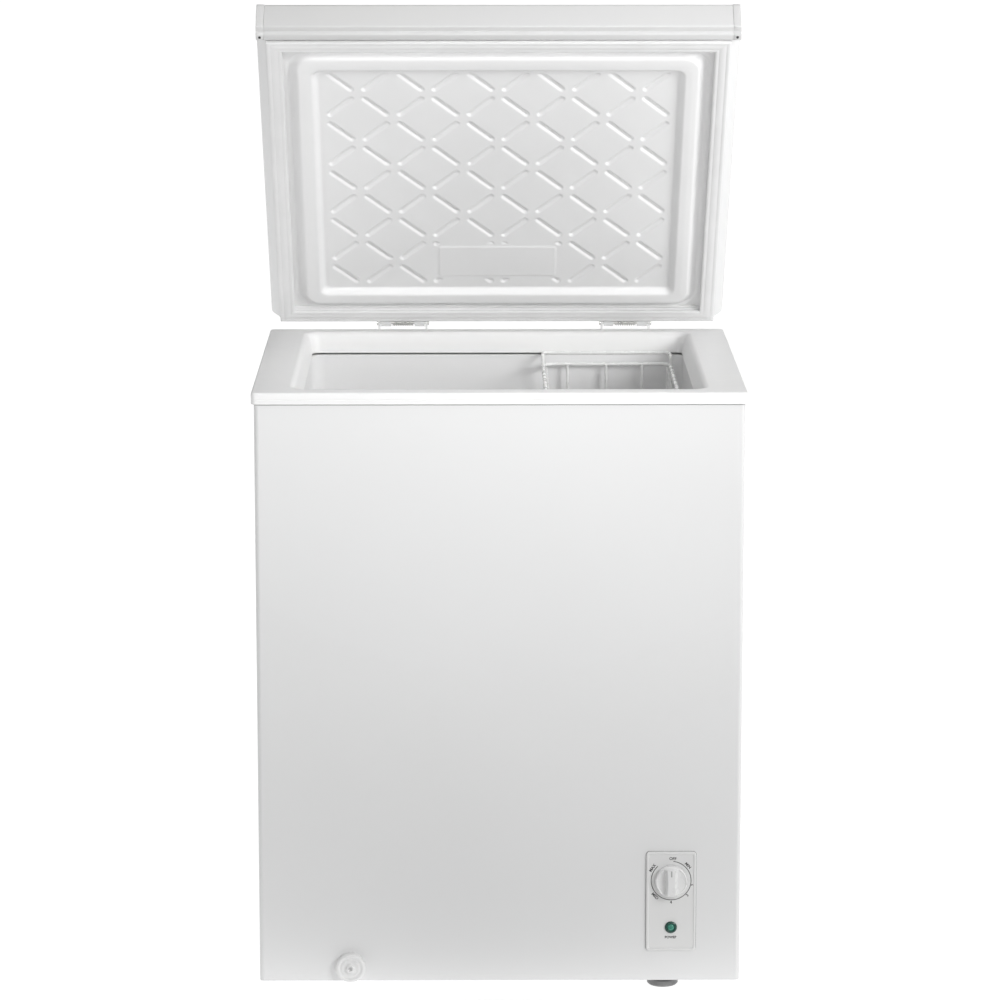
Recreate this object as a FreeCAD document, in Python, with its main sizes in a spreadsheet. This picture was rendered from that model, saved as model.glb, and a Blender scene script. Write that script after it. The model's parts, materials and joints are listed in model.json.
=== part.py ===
"""Chest freezer with a propped-open lid, a hanging wire basket and its refrigeration parts.

Millimetres. X runs to the right, Y from front to back, Z up from the floor.
Lid pieces are drawn closed and then turned open together about the hinge axis.
"""
import FreeCAD
import Part
import Sketcher
import math
import os
import re

SIZES = {
    # cabinet
    "width": (625, "rim width, the widest part of the cabinet"),
    "depth": (540, "rim depth"),
    "front": (-281.2, "Y of the rim's front face"),
    "rimtop": (780, "height of the rim's top face"),
    "skirtedge": (12, "height of the shell's bottom edge"),
    "rimface": (15, "height of the rim's front face"),
    "rimskirt": (28, "how far the rim's inner skirt hangs down"),
    "overhang": (3.5, "rim edge beyond the shell"),
    "sideflat": (48, "flat width of the rim at the sides"),
    "endflat": (28, "flat width of the rim at front and back"),
    "sidewall": (58, "rim edge to liner face at the sides"),
    "endwall": (40, "rim edge to liner face at front and back"),
    "plastic": (2.5, "wall of the moulded rim"),
    "sheet": (1, "cabinet sheet thickness"),
    "linersheet": (1.5, "liner thickness"),
    # storage space
    "linerfloor": (60, "height of the liner's floor"),
    "linertop": (750, "height of the liner's top lip"),
    "stepleft": (75, "X of the step over the compressor"),
    "steptop": (300, "height of the step"),
    "coilgap": (9, "space for the evaporator tube behind the liner"),
    "skingap": (6, "space for the condenser tube behind the shell"),
    "bayleft": (115, "X of the machine bay's inner wall"),
    "baytop": (252, "height of the machine bay's ceiling"),
    # control panel
    "panelmid": (220, "X of the control panel's centre"),
    "panelwide": (64, "control panel width"),
    "panellow": (52, "height of the control panel's bottom edge"),
    "paneltall": (131.5, "control panel height"),
    "panelproud": (3, "control panel thickness in front of the shell"),
    "knobheight": (145.3, "height of the knob's axis"),
    "knobwide": (41.5, "knob diameter"),
    "lampheight": (83.2, "height of the lamp's axis"),
    # drain
    "drainmid": (-192, "X of the drain"),
    "drainheight": (31, "height of the drain outlet's axis"),
    "drainreach": (85, "outlet face to the drain's vertical leg"),
    "drainbore": (16, "drain tube bore"),
    # lid
    "lidwide": (622, "lid width"),
    "lidlong": (560, "lid length from front to back"),
    "lidbehind": (2, "lid's rear face behind the rim"),
    "lidgap": (9, "lid's lower edge above the rim"),
    "lidskin": (46, "height of the lid's side face"),
    "liddome": (11, "raised panel on the lid's top"),
    "raildeep": (22.5, "depth of the lid's front rail"),
    "capwide": (10, "width of the lid's corner caps"),
    "ledge": (5, "lid liner face above the lid's lower edge"),
    "linerplate": (3.5, "lid liner thickness"),
    "bead": (9, "height of the raised frame on the lid liner"),
    "lidopen": (50.6, "lid opening angle in degrees as stored"),
    # hinges
    "pivotback": (6, "hinge axis behind the rim"),
    "pivotup": (8, "hinge axis above the rim"),
    "hingewide": (80, "hinge width"),
    "hingeleft": (-130, "X of the left hinge"),
    "hingeright": (177, "X of the right hinge"),
    "pinwide": (5, "hinge pin diameter"),
    # basket
    "basketleft": (60, "X of the basket's left side"),
    "basketwide": (179, "basket width"),
    "basketlong": (444, "basket length from front to back"),
    "baskettop": (738.5, "height of the basket's top ring"),
    "basketdeep": (213.5, "basket depth below its top ring"),
    "barwire": (4.6, "basket hanger wire diameter"),
    "thickwire": (5, "basket frame wire diameter"),
    "thinwire": (3.8, "basket mesh wire diameter"),
}
size = {name: entry[0] for name, entry in SIZES.items()}

doc = FreeCAD.newDocument("ChestFreezer")
sheet = doc.addObject("Spreadsheet::Sheet", "Sizes")
for row, (name, (value, note)) in enumerate(SIZES.items(), start=1):
    sheet.set("A%d" % row, name)
    sheet.set("B%d" % row, str(value))
    sheet.set("C%d" % row, note)
    sheet.setAlias("B%d" % row, name)
doc.recompute()

nodes = []
X_AXIS = FreeCAD.Vector(1, 0, 0)
Y_AXIS = FreeCAD.Vector(0, 1, 0)
Z_AXIS = FreeCAD.Vector(0, 0, 1)
REAR = "front + depth"
SHELL_LEFT = "-width / 2 + overhang"
SHELL_RIGHT = "width / 2 - overhang"
SHELL_FRONT = "front + overhang"
SHELL_REAR = "front + depth - overhang"
rear = size["front"] + size["depth"]
middle = size["front"] + size["depth"] / 2
pivot = FreeCAD.Vector(0, rear + size["pivotback"], size["rimtop"] + size["pivotup"])


# ---------------------------------------------------------------- helpers

def formula(text):
    """An expression in plain size names, pointed at the sheet's cells."""
    return re.sub(r"[a-z]+", r"Sizes.\g<0>", str(text))


def register(piece, label):
    """Gives a finished piece its name and files it as a node."""
    piece.Label = label
    nodes.append(piece)
    return piece


def new_body(label):
    body = doc.addObject("PartDesign::Body", label)
    return register(body, label)


def new_sketch(body, role, height="0"):
    """A sketch on one of the body's own planes, moved along the plane's normal."""
    sketch = body.newObject("Sketcher::SketchObject", "Sketch")
    plane = [item for item in body.Origin.OriginFeatures if item.Role == role][0]
    sketch.AttachmentSupport = (plane, [""])
    sketch.MapMode = "FlatFace"
    sketch.setExpression("AttachmentOffset.Base.z", formula(height))
    return sketch


def bind(sketch, kind, geometry, point, expression, start):
    """One dimension from the sketch's origin, bound to an expression."""
    if kind == "Radius":
        index = sketch.addConstraint(Sketcher.Constraint(kind, geometry, start))
    else:
        index = sketch.addConstraint(Sketcher.Constraint(kind, -1, 1, geometry, point, start))
    sketch.setExpression("Constraints[%d]" % index, formula(expression))


def add_outline(sketch, points):
    """A closed outline of straight lines whose corners follow expressions."""
    count = len(points)
    rough = []
    for index in range(count):
        angle = 2 * math.pi * index / count
        rough.append(FreeCAD.Vector(100 * math.cos(angle), 100 * math.sin(angle), 0))
    lines = []
    for index in range(count):
        line = Part.LineSegment(rough[index], rough[(index + 1) % count])
        lines.append(sketch.addGeometry(line, False))
    for index in range(count):
        following = lines[(index + 1) % count]
        sketch.addConstraint(Sketcher.Constraint("Coincident", lines[index], 2, following, 1))
    for line, corner, start in zip(lines, points, rough):
        bind(sketch, "DistanceX", line, 1, corner[0], start.x)
        bind(sketch, "DistanceY", line, 1, corner[1], start.y)


def add_rectangle(sketch, left, right, low, high):
    add_outline(sketch, [(left, low), (right, low), (right, high), (left, high)])


def add_circle(sketch, across, up, radius):
    start = Part.Circle(FreeCAD.Vector(10, 10, 0), Z_AXIS, 5)
    circle = sketch.addGeometry(start, False)
    bind(sketch, "DistanceX", circle, 3, across, 10)
    bind(sketch, "DistanceY", circle, 3, up, 10)
    bind(sketch, "Radius", circle, 0, radius, 5)


def extrude(body, sketch, length, kind="Pad", backwards=False, taper=None):
    """Pads or pockets a sketch, and makes the result the body's tip."""
    feature = body.newObject("PartDesign::" + kind, kind)
    feature.Profile = sketch
    feature.setExpression("Length", formula(length))
    feature.Reversed = backwards
    if taper is not None:
        feature.TaperAngle = taper
    body.Tip = feature
    return feature


def cut(body, sketch, length, backwards=False, taper=None):
    """A pocket that must really remove material."""
    doc.recompute()
    before = body.Shape.Volume
    feature = extrude(body, sketch, length, "Pocket", backwards, taper)
    doc.recompute()
    if body.Shape.Volume > before - 1:
        raise ValueError("a pocket in %s removes nothing" % body.Label)
    return feature


def revolve(body, sketch, axis):
    feature = body.newObject("PartDesign::Revolution", "Revolution")
    feature.Profile = sketch
    feature.ReferenceAxis = (sketch, [axis])
    feature.Angle = 360
    body.Tip = feature
    return feature


def round_edges(body, radius, wanted):
    """Fillets the tip's edges for which the test holds."""
    doc.recompute()
    base = body.Tip
    names = []
    for index, edge in enumerate(base.Shape.Edges, start=1):
        if wanted(edge):
            names.append("Edge%d" % index)
    if not names:
        raise ValueError("no edge to round in %s" % body.Label)
    feature = body.newObject("PartDesign::Fillet", "Fillet")
    feature.Base = (base, names)
    feature.Radius = radius
    body.Tip = feature
    return feature


def runs_along(edge, axis):
    """True for a straight edge along the axis."""
    if len(edge.Vertexes) != 2 or edge.Curve.TypeId != "Part::GeomLine":
        return False
    return abs(abs(edge.Curve.Direction.dot(axis)) - 1) < 1e-6


def lies_at(edge, axis, value):
    """True for an edge that lies in the plane at this value of X, Y or Z."""
    return all(abs(vertex.Point.dot(axis) - value) < 1e-3 for vertex in edge.Vertexes)


def make_box(label, left, right, near, far, low, high):
    """A plain block bound to the sheet, between two values each way."""
    block = doc.addObject("Part::Box", label)
    block.setExpression("Length", formula("(%s) - (%s)" % (right, left)))
    block.setExpression("Width", formula("(%s) - (%s)" % (far, near)))
    block.setExpression("Height", formula("(%s) - (%s)" % (high, low)))
    block.setExpression(".Placement.Base.x", formula(left))
    block.setExpression(".Placement.Base.y", formula(near))
    block.setExpression(".Placement.Base.z", formula(low))
    return block


def bent_path(points, bend, closed=False):
    """Straight runs joined by tangent arcs of one bend radius."""
    count = len(points)
    corners = range(count) if closed else range(1, count - 1)
    turns = {}
    for index in corners:
        corner = points[index]
        back = (points[index - 1] - corner).normalize()
        ahead = (points[(index + 1) % count] - corner).normalize()
        half = back.getAngle(ahead) / 2
        reach = bend / math.tan(half)
        inward = (back + ahead).normalize() * (bend / math.sin(half) - bend)
        turns[index] = (corner + back * reach, corner + inward, corner + ahead * reach)
    edges = []
    last = count if closed else count - 1
    for index in range(last):
        following = (index + 1) % count
        start = turns[index][2] if index in turns else points[index]
        end = turns[following][0] if following in turns else points[following]
        edges.append(Part.makeLine(start, end))
        if following in turns:
            edges.append(Part.Arc(*turns[following]).toShape())
    return Part.Wire(edges)


def bent_rod(points, diameter, bend, closed=False):
    """A round wire or tube along a bent path."""
    path = bent_path(points, bend, closed)
    first = path.Edges[0]
    start = first.valueAt(first.FirstParameter)
    direction = first.tangentAt(first.FirstParameter)
    ring = Part.Wire([Part.makeCircle(diameter / 2, start, direction)])
    return path.makePipeShell([ring], True, False)


def free_shape(label, shape):
    """A piece that neither a body nor a primitive can carry."""
    feature = doc.addObject("Part::Feature", label)
    feature.Shape = shape
    return register(feature, label)


def fuse_all(shapes):
    joined = shapes[0].multiFuse(shapes[1:])
    return joined.removeSplitter()


def round_bar(radius, length, at, along):
    return Part.makeCylinder(radius, length, at, along)


# ---------------------------------------------------------------- cabinet

def make_outer_shell():
    """Front and side sheets in one bent wrapper, with holes for the panel and the drain."""
    body = new_body("outer_shell")
    sketch = new_sketch(body, "XY_Plane", "skirtedge")
    inner_left = SHELL_LEFT + " + sheet"
    inner_right = SHELL_RIGHT + " - sheet"
    add_outline(sketch, [
        (SHELL_LEFT, SHELL_FRONT),
        (SHELL_RIGHT, SHELL_FRONT),
        (SHELL_RIGHT, SHELL_REAR),
        (inner_right, SHELL_REAR),
        (inner_right, SHELL_FRONT + " + sheet"),
        (inner_left, SHELL_FRONT + " + sheet"),
        (inner_left, SHELL_REAR),
        (SHELL_LEFT, SHELL_REAR),
    ])
    extrude(body, sketch, "rimtop - rimface - skirtedge")
    holes = new_sketch(body, "XZ_Plane", "-(%s) + 5" % SHELL_FRONT)
    margin = 4
    add_rectangle(
        holes,
        "panelmid - panelwide / 2 + %g" % margin,
        "panelmid + panelwide / 2 - %g" % margin,
        "panellow + %g" % margin,
        "panellow + paneltall - %g" % margin,
    )
    add_circle(holes, "drainmid", "drainheight", "drainbore / 2 + 3")
    cut(body, holes, "15")
    corner = 6
    front_face = size["front"] + size["overhang"]
    outer = size["width"] / 2 - size["overhang"]
    round_edges(body, corner, lambda edge: runs_along(edge, Z_AXIS)
                and lies_at(edge, Y_AXIS, front_face)
                and abs(abs(edge.Vertexes[0].Point.x) - outer) < 1e-3)
    round_edges(body, corner - size["sheet"], lambda edge: runs_along(edge, Z_AXIS)
                and lies_at(edge, Y_AXIS, front_face + size["sheet"])
                and abs(abs(edge.Vertexes[0].Point.x) - outer + size["sheet"]) < 1e-3)


def make_back_panel():
    """Rear sheet, open behind the machine bay and for the cord's gland."""
    body = new_body("back_panel")
    sketch = new_sketch(body, "XZ_Plane", "-(%s)" % SHELL_REAR)
    inset = " + sheet"
    add_rectangle(sketch, SHELL_LEFT + inset, SHELL_RIGHT + " - sheet", "skirtedge",
                  "rimtop - rimface")
    add_rectangle(sketch, "bayleft + 20", SHELL_RIGHT + " - 20", "70", "baytop - 30")
    add_circle(sketch, "bayleft + 30", "45", "8")
    extrude(body, sketch, "sheet")


def make_base_pan():
    """Bottom sheet between the shell's lower edges, drilled for the feet and air."""
    body = new_body("base_pan")
    sketch = new_sketch(body, "XY_Plane", "skirtedge")
    add_rectangle(sketch, SHELL_LEFT + " + sheet + 5", SHELL_RIGHT + " - sheet - 5",
                  SHELL_FRONT + " + sheet + 5", SHELL_REAR + " - sheet")
    for across, along in foot_places():
        add_circle(sketch, across, along, "4.3")
    extrude(body, sketch, "1.2")


def make_top_frame():
    """Moulded rim: flat top, outer lip, drafted inner skirt and a hollow underside."""
    body = new_body("top_frame")
    lip = new_sketch(body, "XY_Plane", "rimtop - rimface")
    add_rectangle(lip, "-width / 2", "width / 2", "front", REAR)
    extrude(body, lip, "rimface")
    skirt = new_sketch(body, "XY_Plane", "rimtop - rimskirt")
    add_rectangle(skirt, "-width / 2 + sideflat", "width / 2 - sideflat",
                  "front + endflat", REAR + " - endflat")
    extrude(body, skirt, "rimskirt")
    opening = new_sketch(body, "XY_Plane", "rimtop")
    add_rectangle(opening, "-width / 2 + sideflat", "width / 2 - sideflat",
                  "front + endflat", REAR + " - endflat")
    draft = 12
    cut(body, opening, "rimskirt", taper=-draft)
    half = size["width"] / 2
    round_edges(body, 24, lambda edge: len(edge.Vertexes) == 2
                and abs(edge.Vertexes[0].Z - edge.Vertexes[1].Z) > 20
                and abs(edge.CenterOfMass.x) < half - 30)
    round_edges(body, 7, lambda edge: runs_along(edge, Z_AXIS)
                and abs(abs(edge.Vertexes[0].Point.x) - half) < 1e-3)
    round_edges(body, 3, lambda edge: lies_at(edge, Z_AXIS, size["rimtop"]))
    hollow = new_sketch(body, "XY_Plane", "rimtop - rimface")
    add_rectangle(hollow, "-width / 2 + plastic + sheet + 3", "width / 2 - plastic - sheet - 3",
                  "front + plastic + sheet + 3", REAR + " - plastic - sheet - 3")
    add_rectangle(hollow, "-width / 2 + sideflat - 3", "width / 2 - sideflat + 3",
                  "front + endflat - 3", REAR + " - endflat + 3")
    cut(body, hollow, "rimface - plastic", backwards=True)


def liner_profile(grow, top):
    """Stepped section of the storage space, grown outwards by an amount."""
    return [
        ("-width / 2 + sidewall - (%s)" % grow, "linerfloor - (%s)" % grow),
        ("stepleft + (%s)" % grow, "linerfloor - (%s)" % grow),
        ("stepleft + (%s)" % grow, "steptop - (%s)" % grow),
        ("width / 2 - sidewall + (%s)" % grow, "steptop - (%s)" % grow),
        ("width / 2 - sidewall + (%s)" % grow, top),
        ("-width / 2 + sidewall - (%s)" % grow, top),
    ]


def liner_block(label, grow, corner):
    """The storage space as a solid block with rounded corners, grown by an amount."""
    body = doc.addObject("PartDesign::Body", label)
    body.Label = label
    section = new_sketch(body, "XZ_Plane", "-(front + endwall - (%s))" % grow)
    add_outline(section, liner_profile(grow, "linertop"))
    extrude(body, section, "depth - 2 * endwall + 2 * (%s)" % grow, backwards=True)
    doc.recompute()
    floor = body.Shape.BoundBox.ZMin
    step_side = size["stepleft"] + body.Shape.BoundBox.XMax - size["width"] / 2 + size["sidewall"]
    round_edges(body, corner, lambda edge: runs_along(edge, Z_AXIS)
                and not lies_at(edge, X_AXIS, step_side))
    round_edges(body, corner / 2, lambda edge: lies_at(edge, Z_AXIS, floor))
    return body


def make_inner_liner():
    """Stepped storage liner with rounded corners, a top lip and a drain hole."""
    outer = liner_block("liner_outside", "linersheet", 19.5)
    lip = new_sketch(outer, "XY_Plane", "linertop - linersheet")
    add_rectangle(lip, "-width / 2 + sidewall - 7", "width / 2 - sidewall + 7",
                  "front + endwall - 7", REAR + " - endwall + 7")
    extrude(outer, lip, "linersheet")
    inner = liner_block("liner_inside", "0", 18)
    drain = new_sketch(inner, "XY_Plane", "linerfloor - 5")
    add_circle(drain, "drainmid", SHELL_FRONT + " + drainreach", "drainbore / 2 + 0.2")
    extrude(inner, drain, "10")
    liner = doc.addObject("Part::Cut", "inner_liner")
    liner.Base = outer
    liner.Tool = inner
    register(liner, "inner_liner")


def make_cabinet_foam():
    """Foamed walls and floor around the liner, cut away for the machine bay and the drain."""
    body = new_body("cabinet_foam")
    outer = new_sketch(body, "XZ_Plane", "-(%s + sheet + skingap)" % SHELL_FRONT)
    add_outline(outer, [
        (SHELL_LEFT + " + sheet + skingap", "20"),
        ("bayleft", "20"),
        ("bayleft", "baytop"),
        (SHELL_RIGHT + " - sheet - skingap", "baytop"),
        (SHELL_RIGHT + " - sheet - skingap", "linertop - 10"),
        (SHELL_LEFT + " + sheet + skingap", "linertop - 10"),
    ])
    extrude(body, outer, "depth - 2 * overhang - 2 * sheet - 2 * skingap", backwards=True)
    near = size["front"] + size["overhang"] + size["sheet"] + size["skingap"]
    round_edges(body, 17, lambda edge: runs_along(edge, Z_AXIS) and lies_at(edge, Y_AXIS, near)
                and abs(edge.CenterOfMass.x) > size["width"] / 2 - size["sidewall"])
    inner = new_sketch(body, "XZ_Plane", "-(front + endwall - linersheet - coilgap)")
    add_outline(inner, liner_profile("linersheet + coilgap", "linertop"))
    cut(body, inner, "depth - 2 * endwall + 2 * linersheet + 2 * coilgap")
    channel = new_sketch(body, "XY_Plane", "19")
    add_rectangle(channel, "drainmid - 14", "drainmid + 14",
                  SHELL_FRONT, SHELL_FRONT + " + drainreach + 14")
    cut(body, channel, "linerfloor - 20", backwards=True)


def make_evaporator_tube():
    """Refrigerant tube wound around the liner in rising turns."""
    diameter = 8
    reach = size["linersheet"] + diameter / 2 + 0.5
    left = -size["width"] / 2 + size["sidewall"] - reach
    near = size["front"] + size["endwall"] - reach
    far = rear - size["endwall"] + reach
    lowest = 340
    pitch = 55
    turns = 7
    points = []
    for turn in range(turns):
        height = lowest + turn * pitch
        points.append(FreeCAD.Vector(left, far, height))
        points.append(FreeCAD.Vector(left, near, height))
        points.append(FreeCAD.Vector(-left, near, height))
        points.append(FreeCAD.Vector(-left, far, height))
    free_shape("evaporator_tube", bent_rod(points, diameter, 22))


def make_condenser_tube():
    """Warm tube run back and forth inside the shell's front and sides."""
    diameter = 5
    reach = size["overhang"] + size["sheet"] + diameter / 2 + 0.3
    side = size["width"] / 2 - reach
    near = size["front"] + reach
    far = rear - 60
    lowest = 290
    pitch = 75
    runs = 6
    points = []
    for run in range(runs):
        height = lowest + run * pitch
        way = 1 if run % 2 == 0 else -1
        points.append(FreeCAD.Vector(way * side, far, height))
        points.append(FreeCAD.Vector(way * side, near, height))
        points.append(FreeCAD.Vector(-way * side, near, height))
        points.append(FreeCAD.Vector(-way * side, far, height))
    free_shape("condenser_tube", bent_rod(points, diameter, 20))


# ---------------------------------------------------------------- feet

def foot_places():
    """X and Y expressions of the four feet; the left front one stands further back."""
    return [
        ("211", SHELL_FRONT + " + 26"),
        ("-211", SHELL_FRONT + " + 90"),
        ("211", SHELL_REAR + " - 50"),
        ("-211", SHELL_REAR + " - 50"),
    ]


def make_feet():
    names = ["foot_front_right", "foot_front_left", "foot_rear_right", "foot_rear_left"]
    for name, (across, along) in zip(names, foot_places()):
        body = new_body(name)
        sketch = new_sketch(body, "XZ_Plane")
        add_outline(sketch, [
            ("0", "0"),
            ("18", "0"),
            ("20", "2"),
            ("20", "8"),
            ("15", "skirtedge"),
            ("4", "skirtedge"),
            ("4", "18"),
            ("0", "18"),
        ])
        revolve(body, sketch, "V_Axis")
        body.setExpression(".Placement.Base.x", formula(across))
        body.setExpression(".Placement.Base.y", formula(along))


# ---------------------------------------------------------------- control panel

def make_control_bezel():
    """Moulded panel with a recessed face, a raised border and holes for knob and lamp."""
    body = new_body("control_bezel")
    front_face = "-(%s) + panelproud" % SHELL_FRONT
    plate = new_sketch(body, "XZ_Plane", front_face)
    add_rectangle(plate, "panelmid - panelwide / 2", "panelmid + panelwide / 2",
                  "panellow", "panellow + paneltall")
    extrude(body, plate, "panelproud", backwards=True)
    round_edges(body, 4, lambda edge: runs_along(edge, Y_AXIS))
    spigot = new_sketch(body, "XZ_Plane", "-(%s)" % SHELL_FRONT)
    add_rectangle(spigot, "panelmid - panelwide / 2 + 5", "panelmid + panelwide / 2 - 5",
                  "panellow + 5", "panellow + paneltall - 5")
    add_rectangle(spigot, "panelmid - panelwide / 2 + 7", "panelmid + panelwide / 2 - 7",
                  "panellow + 7", "panellow + paneltall - 7")
    extrude(body, spigot, "8", backwards=True)
    recess = new_sketch(body, "XZ_Plane", front_face)
    add_rectangle(recess, "panelmid - panelwide / 2 + 3", "panelmid + panelwide / 2 - 3",
                  "panellow + 3", "panellow + paneltall - 3")
    cut(body, recess, "0.8")
    holes = new_sketch(body, "XZ_Plane", front_face)
    add_circle(holes, "panelmid", "knobheight", "4")
    add_circle(holes, "panelmid", "lampheight", "6")
    cut(body, holes, "panelproud + 1")


def make_thermostat_body():
    """Thermostat housing behind the panel, bored for the knob's shaft."""
    body = new_body("thermostat_body")
    housing = new_sketch(body, "XZ_Plane", "-(%s) - 0.2" % SHELL_FRONT)
    add_rectangle(housing, "panelmid - 19", "panelmid + 19", "knobheight - 17", "knobheight + 17")
    extrude(body, housing, "32", backwards=True)
    bore = new_sketch(body, "XZ_Plane", "-(%s)" % SHELL_FRONT)
    add_circle(bore, "panelmid", "knobheight", "3.06")
    cut(body, bore, "22")


def make_thermostat_shaft():
    body = new_body("thermostat_shaft")
    sketch = new_sketch(body, "XZ_Plane", "-(%s) + panelproud + 8" % SHELL_FRONT)
    add_circle(sketch, "panelmid", "knobheight", "3")
    extrude(body, sketch, "panelproud + 8 + 20", backwards=True)


def make_thermostat_knob():
    """Round knob with a skirt, a grip bar across it and a blind hole for the shaft."""
    body = new_body("thermostat_knob")
    face = "-(%s) + panelproud" % SHELL_FRONT
    skirt = new_sketch(body, "XZ_Plane", face + " - 0.3")
    add_circle(skirt, "panelmid", "knobheight", "knobwide / 2")
    extrude(body, skirt, "5")
    grip = new_sketch(body, "XZ_Plane", face + " + 4.7")
    add_rectangle(grip, "panelmid - 4.25", "panelmid + 4.25",
                  "knobheight - knobwide / 2 + 1.5", "knobheight + knobwide / 2 - 1.5")
    extrude(body, grip, "10")
    tip = size["front"] + size["overhang"] - size["panelproud"] - 14.7
    round_edges(body, 2, lambda edge: lies_at(edge, Y_AXIS, tip))
    bore = new_sketch(body, "XZ_Plane", face + " - 0.3")
    add_circle(bore, "panelmid", "knobheight", "3")
    cut(body, bore, "8.3", backwards=True)


def make_lamp():
    """Power lamp: a ring clipped into the panel, its lens and the holder behind."""
    face = "-(%s) + panelproud" % SHELL_FRONT
    ring = new_body("lamp_ring")
    flange = new_sketch(ring, "XZ_Plane", face + " - 0.8")
    add_circle(flange, "panelmid", "lampheight", "8")
    add_circle(flange, "panelmid", "lampheight", "4.5")
    extrude(ring, flange, "2")
    sleeve = new_sketch(ring, "XZ_Plane", face + " - 0.8")
    add_circle(sleeve, "panelmid", "lampheight", "6")
    add_circle(sleeve, "panelmid", "lampheight", "4.5")
    extrude(ring, sleeve, "6", backwards=True)
    lens = new_body("lamp_lens")
    barrel = new_sketch(lens, "XZ_Plane", face + " + 2")
    add_circle(barrel, "panelmid", "lampheight", "4.5")
    extrude(lens, barrel, "8", backwards=True)
    tip = size["front"] + size["overhang"] - size["panelproud"] - 2
    round_edges(lens, 1.2, lambda edge: lies_at(edge, Y_AXIS, tip))
    holder = new_body("lamp_holder")
    block = new_sketch(holder, "XZ_Plane", face + " - 6.8")
    add_rectangle(block, "panelmid - 9", "panelmid + 9", "lampheight - 9", "lampheight + 9")
    extrude(holder, block, "18", backwards=True)


# ---------------------------------------------------------------- drain

def make_drain_flange():
    """Outlet socket on the front sheet around the drain tube."""
    body = new_body("drain_flange")
    sketch = new_sketch(body, "XZ_Plane", "-(%s)" % SHELL_FRONT)
    add_circle(sketch, "drainmid", "drainheight", "19")
    add_circle(sketch, "drainmid", "drainheight", "drainbore / 2 + 2.2")
    extrude(body, sketch, "2.5")


def make_drain_tube():
    """Drain elbow from the liner's floor to the front, open from end to end."""
    outlet = FreeCAD.Vector(size["drainmid"], size["front"] + size["overhang"], size["drainheight"])
    corner = outlet + FreeCAD.Vector(0, size["drainreach"], 0)
    top = FreeCAD.Vector(corner.x, corner.y, size["linerfloor"] - size["linersheet"])
    outside = bent_rod([outlet, corner, top], size["drainbore"] + 4, 14)
    overshoot = FreeCAD.Vector(0, 1, 0)
    inside = bent_rod([outlet - overshoot, corner, top + Z_AXIS], size["drainbore"], 14)
    free_shape("drain_tube", outside.cut(inside))


def make_drain_cap():
    """Push-in outlet cap with ring steps and a hub, on a spigot that seats in the tube."""
    body = new_body("drain_cap")
    sketch = new_sketch(body, "XY_Plane")
    add_outline(sketch, [
        ("0", "-13"),
        ("3.5", "-13"),
        ("4.5", "-12"),
        ("4.5", "-9.5"),
        ("9", "-9.5"),
        ("9", "-11"),
        ("12", "-11"),
        ("12", "-10"),
        ("17", "-10"),
        ("19.2", "-7.5"),
        ("19.2", "-2.9"),
        ("drainbore / 2 - 0.05", "-2.9"),
        ("drainbore / 2 - 0.05", "16"),
        ("0", "16"),
    ])
    revolve(body, sketch, "V_Axis")
    body.setExpression(".Placement.Base.x", formula("drainmid"))
    body.setExpression(".Placement.Base.y", formula(SHELL_FRONT))
    body.setExpression(".Placement.Base.z", formula("drainheight"))


def make_drain_plug():
    """Rubber plug in the liner's floor, with a pull knob."""
    body = new_body("drain_plug")
    sketch = new_sketch(body, "XZ_Plane")
    add_outline(sketch, [
        ("0", "-14"),
        ("drainbore / 2 - 0.1", "-14"),
        ("drainbore / 2 - 0.05", "0.1"),
        ("14", "0.1"),
        ("14", "3"),
        ("5", "4.5"),
        ("4", "8"),
        ("6", "12"),
        ("0", "13"),
    ])
    revolve(body, sketch, "V_Axis")
    body.setExpression(".Placement.Base.x", formula("drainmid"))
    body.setExpression(".Placement.Base.y", formula(SHELL_FRONT + " + drainreach"))
    body.setExpression(".Placement.Base.z", formula("linerfloor"))


# ---------------------------------------------------------------- machine bay

BAY_CENTRE = FreeCAD.Vector(212, rear - 132, 0)


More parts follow.
